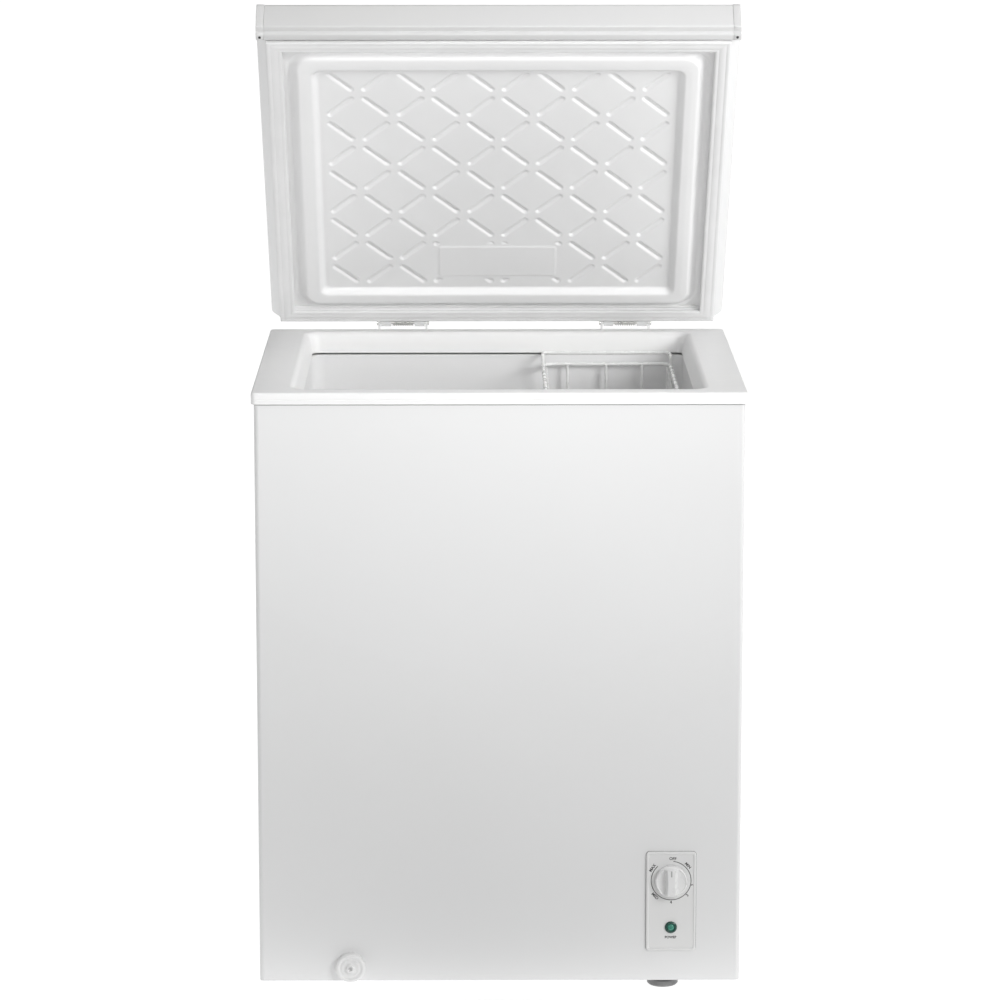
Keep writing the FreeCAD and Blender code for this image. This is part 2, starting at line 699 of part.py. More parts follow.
def make_compressor():
    """Welded compressor pot on its cross plate, with feet, studs and a terminal cover."""
    pot = new_body("compressor_pot")
    sketch = new_sketch(pot, "XZ_Plane")
    add_outline(sketch, [
        ("0", "32"),
        ("42", "32"),
        ("56", "44"),
        ("58", "96"),
        ("61", "97"),
        ("61", "103"),
        ("58", "104"),
        ("55", "150"),
        ("38", "170"),
        ("0", "176"),
    ])
    revolve(pot, sketch, "V_Axis")
    pot.Placement.Base = BAY_CENTRE
    plate = new_body("compressor_plate")
    outline = new_sketch(plate, "XY_Plane", "29")
    add_rectangle(outline, "-82", "82", "-46", "46")
    for across in ("-70", "70"):
        for along in ("-34", "34"):
            add_circle(outline, across, along, "5.2")
    extrude(plate, outline, "3")
    plate.Placement.Base = BAY_CENTRE
    grommets = []
    studs = []
    for across in (-70, 70):
        for along in (-34, 34):
            place = BAY_CENTRE + FreeCAD.Vector(across, along, 0)
            floor = size["skirtedge"] + 1.2
            lower = round_bar(9, 29 - floor, place + Z_AXIS * floor, Z_AXIS)
            neck = round_bar(5.1, 3, place + Z_AXIS * 29, Z_AXIS)
            collar = round_bar(8, 4, place + Z_AXIS * 32, Z_AXIS)
            bore = round_bar(3.1, 40, place + Z_AXIS * (floor - 1), Z_AXIS)
            grommets.append(fuse_all([lower, neck, collar]).cut(bore))
            shank = round_bar(3, 26, place + Z_AXIS * floor, Z_AXIS)
            head = round_bar(6, 4, place + Z_AXIS * (floor + 24), Z_AXIS)
            studs.append(shank.fuse(head))
    free_shape("compressor_grommets", Part.makeCompound(grommets))
    free_shape("compressor_studs", Part.makeCompound(studs))
    cover = make_box("relay_cover", "%g" % (BAY_CENTRE.x - 26), "%g" % (BAY_CENTRE.x + 26),
                     "%g" % (BAY_CENTRE.y - 92), "%g" % (BAY_CENTRE.y - 61.5), "60", "122")
    register(cover, "relay_cover")


def make_refrigerant_lines():
    """Drier and the two copper lines between the compressor and the foamed circuit."""
    drier = new_body("filter_drier")
    sketch = new_sketch(drier, "XZ_Plane")
    add_outline(sketch, [
        ("0", "0"),
        ("3", "0"),
        ("3", "8"),
        ("10", "16"),
        ("10", "92"),
        ("3", "100"),
        ("3", "108"),
        ("0", "108"),
    ])
    revolve(drier, sketch, "V_Axis")
    drier.Placement.Base = FreeCAD.Vector(135, BAY_CENTRE.y - 110, 120)
    high = size["baytop"] - 14
    pot_side = BAY_CENTRE + FreeCAD.Vector(0, 59.5, 0)
    suction = [
        pot_side + FreeCAD.Vector(10, 3, 130),
        pot_side + FreeCAD.Vector(10, 30, 130),
        pot_side + FreeCAD.Vector(10, 30, high),
        pot_side + FreeCAD.Vector(-75, 30, high),
    ]
    discharge = [
        pot_side + FreeCAD.Vector(-10, 4.5, 70),
        pot_side + FreeCAD.Vector(-10, 45, 70),
        pot_side + FreeCAD.Vector(-60, 45, 70),
        pot_side + FreeCAD.Vector(-60, 45, high - 30),
    ]
    free_shape("suction_line", bent_rod(suction, 8, 12))
    free_shape("discharge_line", bent_rod(discharge, 6, 12))


def make_rear_grille():
    """Louvred cover over the machine bay's rear opening."""
    body = new_body("rear_grille")
    sketch = new_sketch(body, "XZ_Plane", "-(%s)" % SHELL_REAR)
    add_rectangle(sketch, "bayleft + 12", SHELL_RIGHT + " - 12", "62", "baytop - 22")
    extrude(body, sketch, "3", backwards=True)
    slot = new_sketch(body, "XZ_Plane", "-(%s) - 5" % SHELL_REAR)
    add_rectangle(slot, "bayleft + 26", SHELL_RIGHT + " - 26", "76", "82")
    louvre = cut(body, slot, "8", backwards=True)
    pattern = body.newObject("PartDesign::LinearPattern", "LinearPattern")
    pattern.Originals = [louvre]
    pattern.Direction = (slot, ["V_Axis"])
    pattern.Length = 132
    pattern.Occurrences = 12
    body.Tip = pattern


def make_cord_gland():
    """Rubber bush in the back panel that a supply cord would leave through."""
    body = new_body("cord_gland")
    sketch = new_sketch(body, "XY_Plane")
    add_outline(sketch, [
        ("3.5", "-6"),
        ("10", "-6"),
        ("10", "-1"),
        ("7.9", "-1"),
        ("7.9", "0"),
        ("11", "0"),
        ("10", "5"),
        ("3.5", "5"),
    ])
    revolve(body, sketch, "V_Axis")
    body.setExpression(".Placement.Base.x", formula("bayleft + 30"))
    body.setExpression(".Placement.Base.y", formula(SHELL_REAR))
    body.Placement.Base.z = 45


# ---------------------------------------------------------------- lid

LID_LEFT = "-lidwide / 2"
LID_RIGHT = "lidwide / 2"
LID_FRONT = "front + depth + lidbehind - lidlong"
LID_REAR = "front + depth + lidbehind"
LID_LOW = "rimtop + lidgap"
LID_HIGH = "rimtop + lidgap + lidskin"


def open_lid(piece):
    """Turns a piece drawn on the closed lid to where the open lid holds it."""
    turn = FreeCAD.Rotation(X_AXIS, -size["lidopen"])
    lifted = FreeCAD.Placement(FreeCAD.Vector(), turn, pivot)
    piece.Placement = lifted.multiply(piece.Placement)


def hinge_notches(body, low, high, deep):
    """Recesses in the rear lower edge where the hinge barrels turn."""
    sketch = new_sketch(body, "XY_Plane", low)
    for place in ("hingeleft", "hingeright"):
        add_rectangle(sketch, place + " - hingewide / 2 + 2", place + " + hingewide / 2 - 2",
                      LID_REAR + " - (%s)" % deep, LID_REAR + " + 1")
    cut(body, sketch, high, backwards=True)


def make_lid_skin():
    """Painted lid pan with rounded edges and a raised panel on top, hollow below."""
    body = new_body("lid_skin")
    pan = new_sketch(body, "XY_Plane", LID_LOW)
    add_rectangle(pan, LID_LEFT, LID_RIGHT, LID_FRONT + " + raildeep", LID_REAR)
    extrude(body, pan, "lidskin")
    half = size["lidwide"] / 2
    high = size["rimtop"] + size["lidgap"] + size["lidskin"]
    lid_rear = rear + size["lidbehind"]
    round_edges(body, 9, lambda edge: runs_along(edge, Z_AXIS) and lies_at(edge, Y_AXIS, lid_rear))
    rail_rear = lid_rear - size["lidlong"] + size["raildeep"]
    round_edges(body, 8, lambda edge: lies_at(edge, Z_AXIS, high)
                and not lies_at(edge, Y_AXIS, rail_rear))
    dome = new_sketch(body, "XY_Plane", LID_HIGH + " - 1")
    add_rectangle(dome, LID_LEFT + " + 22", LID_RIGHT + " - 22", LID_FRONT + " + raildeep + 10",
                  LID_REAR + " - 22")
    extrude(body, dome, "liddome + 1", taper=-20)
    round_edges(body, 5, lambda edge: lies_at(edge, Z_AXIS, high + size["liddome"]))
    inside = new_sketch(body, "XY_Plane", LID_LOW + " - 1")
    add_rectangle(inside, LID_LEFT + " + 1", LID_RIGHT + " - 1", LID_FRONT + " + raildeep + 1",
                  LID_REAR + " - 1")
    cut(body, inside, "lidskin - 8", backwards=True)
    upper = new_sketch(body, "XY_Plane", LID_LOW)
    add_rectangle(upper, LID_LEFT + " + 9", LID_RIGHT + " - 9", LID_FRONT + " + raildeep + 1",
                  LID_REAR + " - 9")
    cut(body, upper, "lidskin - 1", backwards=True)
    attic = new_sketch(body, "XY_Plane", LID_LOW)
    add_rectangle(attic, LID_LEFT + " + 30", LID_RIGHT + " - 30", LID_FRONT + " + raildeep + 18",
                  LID_REAR + " - 30")
    cut(body, attic, "lidskin + liddome - 1", backwards=True)
    hinge_notches(body, LID_LOW + " - 1", "8", "2")
    open_lid(body)


def rail_profile(grow):
    """Side section of the handle rail: undercut grip below, rounded nose in front."""
    return [
        (LID_FRONT + " + 6", "rimtop + 3 - %g" % grow),
        (LID_FRONT + " + 16", "rimtop + 3 - %g" % grow),
        (LID_FRONT + " + raildeep", "rimtop + lidgap"),
        (LID_FRONT + " + raildeep", LID_HIGH + " + %g" % grow),
        (LID_FRONT + " + 8", LID_HIGH + " + %g" % grow),
        (LID_FRONT + " + %g" % (2 - grow), LID_HIGH + " - 6"),
        (LID_FRONT + " + %g" % (1 - grow), "rimtop + 8"),
    ]


def make_lid_rail():
    """Handle rail along the lid's front edge, between two taller corner caps."""
    rail = new_body("lid_rail")
    sketch = new_sketch(rail, "YZ_Plane", LID_LEFT + " + capwide + 0.5")
    add_outline(sketch, rail_profile(0))
    extrude(rail, sketch, "lidwide - 2 * capwide - 1")
    open_lid(rail)
    starts = {"lid_cap_left": LID_LEFT, "lid_cap_right": LID_RIGHT + " - capwide"}
    for name, start in starts.items():
        cap = new_body(name)
        section = new_sketch(cap, "YZ_Plane", start)
        add_outline(section, rail_profile(1))
        extrude(cap, section, "capwide")
        open_lid(cap)


def make_lid_liner():
    """Lid's inner face: a plate with a raised frame inside the gasket."""
    body = new_body("lid_liner")
    plate = new_sketch(body, "XY_Plane", LID_LOW + " + ledge")
    add_rectangle(plate, LID_LEFT + " + 1.2", LID_RIGHT + " - 1.2", LID_FRONT + " + raildeep + 1.2",
                  LID_REAR + " - 1.2")
    extrude(body, plate, "linerplate")
    frame = new_sketch(body, "XY_Plane", LID_LOW + " + ledge")
    add_rectangle(frame, LID_LEFT + " + 46", LID_RIGHT + " - 46", LID_FRONT + " + 54",
                  LID_REAR + " - 32")
    add_rectangle(frame, LID_LEFT + " + 73", LID_RIGHT + " - 73", LID_FRONT + " + 81",
                  LID_REAR + " - 57")
    extrude(body, frame, "bead", backwards=True)
    low = size["rimtop"] + size["lidgap"] + size["ledge"] - size["bead"]
    outside = size["lidwide"] / 2 - 46
    round_edges(body, 20, lambda edge: runs_along(edge, Z_AXIS)
                and abs(abs(edge.CenterOfMass.x) - outside) < 1e-3)
    round_edges(body, 4, lambda edge: lies_at(edge, Z_AXIS, low))
    hinge_notches(body, LID_LOW + " + ledge - 1", "linerplate + 2", "3.7")
    open_lid(body)


def make_lid_foam():
    body = new_body("lid_foam")
    slab = new_sketch(body, "XY_Plane", LID_LOW + " + ledge + linerplate")
    add_rectangle(slab, LID_LEFT + " + 9.2", LID_RIGHT + " - 9.2", LID_FRONT + " + raildeep + 1.2",
                  LID_REAR + " - 9.2")
    extrude(body, slab, "lidskin - ledge - linerplate - 1")
    attic = new_sketch(body, "XY_Plane", LID_HIGH + " - 1")
    add_rectangle(attic, LID_LEFT + " + 30", LID_RIGHT + " - 30", LID_FRONT + " + raildeep + 18",
                  LID_REAR + " - 30")
    extrude(body, attic, "liddome - 0.2")
    open_lid(body)


def make_lid_gasket():
    """Magnetic door gasket, a closed soft frame between the lid and the rim."""
    body = new_body("lid_gasket")
    ring = new_sketch(body, "XY_Plane", LID_LOW + " + ledge")
    add_rectangle(ring, LID_LEFT + " + 12.5", LID_RIGHT + " - 12.5", LID_FRONT + " + raildeep + 1.2",
                  LID_REAR + " - 5")
    add_rectangle(ring, LID_LEFT + " + 33.5", LID_RIGHT + " - 33.5", LID_FRONT + " + 41",
                  LID_REAR + " - 25")
    extrude(body, ring, "lidgap + ledge - 0.5", backwards=True)
    open_lid(body)


# ---------------------------------------------------------------- hinges

EAR_OFFSET = 31
EAR_THICK = 3
KNUCKLE_LONG = 14


def hinge_ear(across):
    """One bracket ear: a plate rising from the cabinet's back to a ring around the pin."""
    ring_radius = 6.5
    corners = [
        (rear - size["overhang"] + 2, size["rimtop"] - 95),
        (pivot.y + ring_radius, size["rimtop"] - 80),
        (pivot.y + ring_radius, pivot.z),
        (pivot.y - ring_radius + 1.5, pivot.z),
        (rear + 1, size["rimtop"] - 5),
        (rear + 1, size["rimtop"] - 18),
        (rear - size["overhang"] + 2, size["rimtop"] - 18),
    ]
    outline = [FreeCAD.Vector(across, y, z) for y, z in corners]
    face = Part.Face(Part.makePolygon(outline + outline[:1]))
    plate = face.extrude(X_AXIS * EAR_THICK)
    start = FreeCAD.Vector(across, pivot.y, pivot.z)
    ring = round_bar(ring_radius, EAR_THICK, start, X_AXIS)
    bore = round_bar(size["pinwide"] / 2, EAR_THICK + 2, start - X_AXIS, X_AXIS)
    return plate.fuse(ring).cut(bore)


def make_hinge_bracket(side, centre):
    """Steel bracket on the cabinet's back with two ears that hold the pin."""
    back = rear - size["overhang"]
    low = size["rimtop"] - 95
    plate = Part.makeBox(size["hingewide"], 2, 77, FreeCAD.Vector(
        centre - size["hingewide"] / 2, back, low))
    ears = [hinge_ear(centre - EAR_OFFSET - EAR_THICK), hinge_ear(centre + EAR_OFFSET)]
    free_shape("hinge_bracket_" + side, fuse_all([plate] + ears))


def make_hinge_pin(side, centre):
    reach = EAR_OFFSET + EAR_THICK
    start = FreeCAD.Vector(centre - reach, pivot.y, pivot.z)
    shank = round_bar(size["pinwide"] / 2, 2 * reach, start, X_AXIS)
    heads = [
        round_bar(4, 2, start - X_AXIS * 2, X_AXIS),
        round_bar(4, 2, start + X_AXIS * 2 * reach, X_AXIS),
    ]
    free_shape("hinge_pin_" + side, fuse_all([shank] + heads))


def make_hinge_leaf(side, centre):
    """Steel leaf on the lid's rear face with a knuckle at each end."""
    face = rear + size["lidbehind"]
    clear = 7.5
    plate = Part.makeBox(60, 2, 32, FreeCAD.Vector(centre - 30, face, pivot.z + clear))
    pieces = [plate]
    bores = []
    for start in (centre - 30, centre + 30 - KNUCKLE_LONG):
        pieces.append(Part.makeBox(KNUCKLE_LONG, 2, clear + 1, FreeCAD.Vector(start, face, pivot.z)))
        middle_point = FreeCAD.Vector(start, pivot.y, pivot.z)
        pieces.append(round_bar(5.5, KNUCKLE_LONG, middle_point, X_AXIS))
        bores.append(round_bar(size["pinwide"] / 2 + 0.05, KNUCKLE_LONG + 2,
                               middle_point - X_AXIS, X_AXIS))
    leaf = fuse_all(pieces)
    for bore in bores:
        leaf = leaf.cut(bore)
    open_lid(free_shape("hinge_leaf_" + side, leaf))


def make_hinge_spring(side, centre):
    """Torsion spring coiled on the pin between the knuckles."""
    wire = 1.6
    turns = 11
    coil_radius = 4.6
    pitch = 2.5
    helix = Part.makeHelix(pitch, pitch * turns, coil_radius)
    start = FreeCAD.Vector(coil_radius, 0, 0)
    ring = Part.Wire([Part.makeCircle(wire / 2, start, Y_AXIS)])
    coil = Part.Wire(helix.Edges).makePipeShell([ring], True, True)
    spring = free_shape("hinge_spring_" + side, coil)
    spring.Placement = FreeCAD.Placement(
        FreeCAD.Vector(centre - pitch * turns / 2, pivot.y, pivot.z),
        FreeCAD.Rotation(Y_AXIS, 90))


def make_hinge_screws():
    """Pan-head screws: brackets to the cabinet's back, leaves to the lid's rear face."""
    centres = (size["hingeleft"], size["hingeright"])
    cabinet = []
    lid = []
    for centre in centres:
        for across in (-20, 20):
            for height in (size["rimtop"] - 80, size["rimtop"] - 35):
                place = FreeCAD.Vector(centre + across, rear - size["overhang"] + 2, height)
                cabinet.append(Part.makeSphere(4, place, Y_AXIS, 0, 90, 360))
            place = FreeCAD.Vector(centre + across, rear + size["lidbehind"] + 2, pivot.z + 28)
            lid.append(Part.makeSphere(4, place, Y_AXIS, 0, 90, 360))
    free_shape("hinge_screws_cabinet", Part.makeCompound(cabinet))
    open_lid(free_shape("hinge_screws_lid", Part.makeCompound(lid)))


def make_hinges():
    for side, place in (("left", "hingeleft"), ("right", "hingeright")):
        centre = size[place]
        make_hinge_bracket(side, centre)
        make_hinge_pin(side, centre)
        make_hinge_leaf(side, centre)
        make_hinge_spring(side, centre)
    make_hinge_screws()


# ---------------------------------------------------------------- basket

def ring_corners(inset, height):
    """Corners of a level wire ring, inset from the basket's outside."""
    left = size["basketleft"] + inset
    right = size["basketleft"] + size["basketwide"] - inset
    near = middle - size["basketlong"] / 2 + inset
    far = middle + size["basketlong"] / 2 - inset
    return [
        FreeCAD.Vector((left + right) / 2, near, height),
        FreeCAD.Vector(right, near, height),
        FreeCAD.Vector(right, far, height),
        FreeCAD.Vector(left, far, height),
        FreeCAD.Vector(left, near, height),
    ]


def level_ring(inset, height, diameter, bend):
    """A closed wire ring; its first run starts in the middle of a side."""
    corners = ring_corners(inset, height)
    half_bend = bent_path(corners + corners[:1], bend)
    start = half_bend.Edges[0].valueAt(half_bend.Edges[0].FirstParameter)
    circle = Part.Wire([Part.makeCircle(diameter / 2, start, X_AXIS)])
    return half_bend.makePipeShell([circle], True, False)


def basket_hanger(sign):
    """Full-width bar that rises from the top ring and rests on the liner's lip."""
    seat = size["linertop"] + size["barwire"] / 2 + 0.1
    left = size["basketleft"] + size["thickwire"] / 2
    right = size["basketleft"] + size["basketwide"] - size["thickwire"] / 2
    foot = middle + sign * (size["basketlong"] / 2 - 24)
    bar = middle + sign * (size["depth"] / 2 - size["endwall"] + 1)
    return bent_rod([
        FreeCAD.Vector(left, foot, size["baskettop"]),
        FreeCAD.Vector(left, foot, seat),
        FreeCAD.Vector(left, bar, seat),
        FreeCAD.Vector(right, bar, seat),
        FreeCAD.Vector(right, foot, seat),
        FreeCAD.Vector(right, foot, size["baskettop"]),
    ], size["barwire"], 6)


def make_basket():
    """Welded wire basket that hangs across the opening on a bar at each end."""
    thick = size["thickwire"]
    thin = size["thinwire"]
    top = size["baskettop"]
    low = top - size["basketdeep"]
    bite = 0.4
    wires = [
        level_ring(thick / 2, top, thick, 16),
        level_ring(thick - thin / 2, low + 40, thin, 16),
    ]
    inset = thick + thin / 2 - bite
    left = size["basketleft"] + inset
    right = size["basketleft"] + size["basketwide"] - inset
    near = middle - size["basketlong"] / 2 + inset
    far = middle + size["basketlong"] / 2 - inset
    crosswise = 10
    for index in range(crosswise):
        along = near + 14 + index * (far - near - 28) / (crosswise - 1)
        wires.append(bent_rod([
            FreeCAD.Vector(left, along, top),
            FreeCAD.Vector(left, along, low),
            FreeCAD.Vector(right, along, low),
            FreeCAD.Vector(right, along, top),
        ], thin, 8))
    for across in (96, 149, 198):
        floor = low + thin - bite
        wires.append(bent_rod([
            FreeCAD.Vector(across, near, top),
            FreeCAD.Vector(across, near, floor),
            FreeCAD.Vector(across, far, floor),
            FreeCAD.Vector(across, far, top),
        ], thin, 8))
    for sign in (-1, 1):
        wires.append(basket_hanger(sign))
    free_shape("basket", fuse_all(wires))


# ---------------------------------------------------------------- build

def check_document():
    """Stops if any object failed or any piece is empty or invalid."""
    doc.recompute()
    for item in doc.Objects:
        if "Invalid" in item.State or "Error" in item.State:
            raise ValueError("%s failed: %s" % (item.Label, item.State))
    for piece in nodes:
        if piece.Shape.isNull() or not piece.Shape.isValid():
            raise ValueError("%s has no valid shape" % piece.Label)


def report_extent():
    """Prints the whole extent, which the frame's origin is centred on."""
    box = FreeCAD.BoundBox()
    for piece in nodes:
        box.add(piece.Shape.BoundBox)
    print("extent", box)


make_outer_shell()
make_back_panel()
make_base_pan()
make_top_frame()
make_inner_liner()
make_cabinet_foam()
make_evaporator_tube()
make_condenser_tube()
make_feet()
make_control_bezel()
make_thermostat_body()
make_thermostat_shaft()
make_thermostat_knob()
make_lamp()
make_drain_flange()
make_drain_tube()
make_drain_cap()
make_drain_plug()
make_compressor()
make_refrigerant_lines()
make_rear_grille()
make_cord_gland()
make_lid_skin()
make_lid_rail()
make_lid_liner()
make_lid_foam()
make_lid_gasket()
make_hinges()
make_basket()
check_document()
report_extent()
os.makedirs("parts", exist_ok=True)
for piece in nodes:
    piece.Shape.exportStep("parts/%s.step" % piece.Label)
print(len(nodes), "pieces written")
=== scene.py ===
"""Chest freezer: detailed meshes, materials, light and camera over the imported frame."""
import json
import math
import bmesh
import bpy
import numpy as np
from mathutils import Matrix, Vector


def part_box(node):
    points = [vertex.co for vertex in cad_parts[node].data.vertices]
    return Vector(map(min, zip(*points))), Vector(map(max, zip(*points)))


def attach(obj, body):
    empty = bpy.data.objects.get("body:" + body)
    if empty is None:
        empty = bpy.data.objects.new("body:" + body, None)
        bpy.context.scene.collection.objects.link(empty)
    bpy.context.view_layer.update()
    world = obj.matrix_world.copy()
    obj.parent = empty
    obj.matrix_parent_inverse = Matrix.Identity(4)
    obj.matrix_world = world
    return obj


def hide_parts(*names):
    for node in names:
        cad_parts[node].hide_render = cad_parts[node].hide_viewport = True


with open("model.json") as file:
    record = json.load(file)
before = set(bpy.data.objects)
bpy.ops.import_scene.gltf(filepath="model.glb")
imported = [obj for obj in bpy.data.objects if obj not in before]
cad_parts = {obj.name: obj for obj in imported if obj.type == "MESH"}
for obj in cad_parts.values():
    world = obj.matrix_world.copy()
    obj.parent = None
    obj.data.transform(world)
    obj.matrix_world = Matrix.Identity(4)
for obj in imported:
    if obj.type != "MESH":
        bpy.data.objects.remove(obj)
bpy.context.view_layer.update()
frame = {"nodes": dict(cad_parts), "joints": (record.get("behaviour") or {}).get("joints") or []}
nodes = frame["nodes"]
MM = 0.001

# ------------------------------------------------------------ places from the frame

hinge = [joint for joint in frame["joints"] if joint["name"] == "lid_hinge"][0]
PIVOT = Vector(hinge["pos_m"])
OPEN = -math.radians(hinge["range_deg"][0])
RIM_LOW, RIM_HIGH = [Vector(corner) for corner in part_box("top_frame")]
SHELL_LOW, SHELL_HIGH = [Vector(corner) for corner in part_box("outer_shell")]
PANEL_LOW, PANEL_HIGH = [Vector(corner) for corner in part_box("control_bezel")]
KNOB_LOW, KNOB_HIGH = [Vector(corner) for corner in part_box("thermostat_knob")]
LAMP_LOW, LAMP_HIGH = [Vector(corner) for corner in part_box("lamp_ring")]
CAP_LOW, CAP_HIGH = [Vector(corner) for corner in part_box("drain_cap")]
BASKET_LOW, BASKET_HIGH = [Vector(corner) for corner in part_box("basket")]
RIM_TOP = RIM_HIGH.z
RIM_MIDDLE = (RIM_LOW + RIM_HIGH) / 2

LID_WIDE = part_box("lid_skin")[1][0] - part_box("lid_skin")[0][0]
LID_LONG = 560 * MM
LID_REAR = PIVOT.y - 4 * MM
LID_LOW = PIVOT.z + 1 * MM
LID_SKIN = 46 * MM
LID_DOME = 11 * MM
RAIL_DEEP = 22.5 * MM
LEDGE = 5 * MM
LID_TURN = (
    Matrix.Translation(PIVOT)
    @ Matrix.Rotation(-OPEN, 4, "X")
    @ Matrix.Translation(-PIVOT)
)


def lid_place(across, along, up):
    """A point of the closed lid, along from its front edge and up from its lower edge, opened."""
    closed = Vector((across, LID_REAR - LID_LONG + along, LID_LOW + up))
    return LID_TURN @ closed


# ------------------------------------------------------------ materials

def new_material(name, color, roughness, coat=0.0, specular=0.5, metallic=0.0):
    material = bpy.data.materials.new(name)
    material.use_nodes = True
    shader = material.node_tree.nodes["Principled BSDF"]
    shader.inputs["Base Color"].default_value = (*color, 1)
    shader.inputs["Roughness"].default_value = roughness
    shader.inputs["Metallic"].default_value = metallic
    shader.inputs["Specular IOR Level"].default_value = specular
    shader.inputs["Coat Weight"].default_value = coat
    shader.inputs["Coat Roughness"].default_value = 0.12
    return material


def add_noise(material, scale, detail):
    """A noise value over the object's own coordinates, in metres."""
    tree = material.node_tree
    coordinates = tree.nodes.new("ShaderNodeTexCoord")
    noise = tree.nodes.new("ShaderNodeTexNoise")
    noise.inputs["Scale"].default_value = scale
    noise.inputs["Detail"].default_value = detail
    tree.links.new(coordinates.outputs["Object"], noise.inputs["Vector"])
    return noise.outputs["Fac"]


def vary_color(material, dark, light, scale):
    """Base colour drifts between two tones."""
    detail = 3.0
    tree = material.node_tree
    ramp = tree.nodes.new("ShaderNodeValToRGB")
    ramp.color_ramp.elements[0].position = 0.35
    ramp.color_ramp.elements[0].color = (*dark, 1)
    ramp.color_ramp.elements[1].position = 0.65
    ramp.color_ramp.elements[1].color = (*light, 1)
    tree.links.new(add_noise(material, scale, detail), ramp.inputs["Fac"])
    shader = tree.nodes["Principled BSDF"]
    tree.links.new(ramp.outputs["Color"], shader.inputs["Base Color"])


def vary_roughness(material, low, high, scale):
    """Roughness drifts between two values."""
    detail = 4.0
    tree = material.node_tree
    spread = tree.nodes.new("ShaderNodeMapRange")
    spread.inputs["From Min"].default_value = 0.3
    spread.inputs["From Max"].default_value = 0.7
    spread.inputs["To Min"].default_value = low
    spread.inputs["To Max"].default_value = high
    tree.links.new(add_noise(material, scale, detail), spread.inputs["Value"])
    shader = tree.nodes["Principled BSDF"]
    tree.links.new(spread.outputs["Result"], shader.inputs["Roughness"])


def add_bump(material, scale, height):
    """Fine relief from a noise, with its height in metres."""
    detail = 2.0
    tree = material.node_tree
    shader = tree.nodes["Principled BSDF"]
    bump = tree.nodes.new("ShaderNodeBump")
    bump.inputs["Strength"].default_value = 1.0
    bump.inputs["Distance"].default_value = height
    tree.links.new(add_noise(material, scale, detail), bump.inputs["Height"])
    tree.links.new(bump.outputs["Normal"], shader.inputs["Normal"])


def painted_steel():
    """White baked enamel with a faint orange peel and a nearly even gloss."""
    material = new_material("painted_steel", (0.75, 0.75, 0.75), 0.34, coat=0.2)
    vary_color(material, (0.74, 0.742, 0.742), (0.76, 0.762, 0.762), 2.2)
    vary_roughness(material, 0.33, 0.37, 240)
    add_bump(material, 420, 0.00002)
    return material


def moulded_white(name, tone, roughness):
    """Injection-moulded plastic with fine spark-eroded grain."""
    material = new_material(name, (tone, tone, tone * 0.995), roughness)
    vary_color(material, (tone * 0.985,) * 3, (tone, tone, tone * 0.992), 6)
    vary_roughness(material, roughness - 0.05, roughness + 0.07, 60)
    add_bump(material, 2200, 0.00002)
    return material


def formed_sheet(name, tone):
    """Vacuum-formed plastic sheet with a soft, slightly uneven gloss."""
    material = new_material(name, (tone, tone, tone), 0.36, coat=0.1)
    vary_color(material, (tone * 0.98,) * 3, (tone * 1.01,) * 3, 5)
    vary_roughness(material, 0.3, 0.44, 22)
    add_bump(material, 650, 0.00002)
    return material


def soft_vinyl():
    """Matt gasket vinyl with a fine grain."""
    material = new_material("gasket_vinyl", (0.78, 0.78, 0.78), 0.5)
    vary_color(material, (0.76, 0.76, 0.76), (0.79, 0.79, 0.79), 18)
    vary_roughness(material, 0.42, 0.6, 80)
    add_bump(material, 900, 0.00003)
    return material


def coated_wire():
    """Thick white dip coating, glossy and slightly lumpy."""
    material = new_material("wire_coating", (0.86, 0.86, 0.855), 0.25, coat=0.3)
    vary_color(material, (0.83, 0.83, 0.82), (0.88, 0.88, 0.875), 60)
    vary_roughness(material, 0.2, 0.34, 90)
    add_bump(material, 240, 0.0001)
    return material


def plain_metal(name, color, roughness):
    """Bare drawn or plated metal, duller in places."""
    material = new_material(name, color, roughness, metallic=1.0)
    vary_color(material, tuple(channel * 0.86 for channel in color), color, 20)
    vary_roughness(material, roughness * 0.8, roughness * 1.3, 80)
    add_bump(material, 960, 0.00003)
    return material


def spangled_zinc():
    """Galvanised sheet with cell-like spangle."""
    material = new_material("spangled_zinc", (0.55, 0.56, 0.57), 0.42, metallic=1.0)
    tree = material.node_tree
    coordinates = tree.nodes.new("ShaderNodeTexCoord")
    cells = tree.nodes.new("ShaderNodeTexVoronoi")
    cells.inputs["Scale"].default_value = 90
    ramp = tree.nodes.new("ShaderNodeValToRGB")
    ramp.color_ramp.elements[0].color = (0.42, 0.43, 0.44, 1)
    ramp.color_ramp.elements[1].color = (0.66, 0.67, 0.68, 1)
    shader = tree.nodes["Principled BSDF"]
    tree.links.new(coordinates.outputs["Object"], cells.inputs["Vector"])
    tree.links.new(cells.outputs["Color"], ramp.inputs["Fac"])
    tree.links.new(ramp.outputs["Color"], shader.inputs["Base Color"])
    vary_roughness(material, 0.3, 0.55, 50)
    return material


def dark_plastic(name, tone, roughness):
    """Dark moulded plastic, rubber or enamel with a fine grain."""
    material = new_material(name, (tone, tone, tone), roughness)
    vary_color(material, (tone * 0.8,) * 3, (tone * 1.15,) * 3, 25)
    vary_roughness(material, roughness - 0.06, roughness + 0.12, 90)
    add_bump(material, 1500, 0.00003)
    return material


def foam_material():
    """Yellowish rigid foam with open cells."""
    material = new_material("rigid_foam", (0.78, 0.70, 0.48), 0.9)
    vary_color(material, (0.66, 0.58, 0.36), (0.84, 0.77, 0.56), 40)
    vary_roughness(material, 0.8, 1.0, 60)
    add_bump(material, 500, 0.0004)
    return material


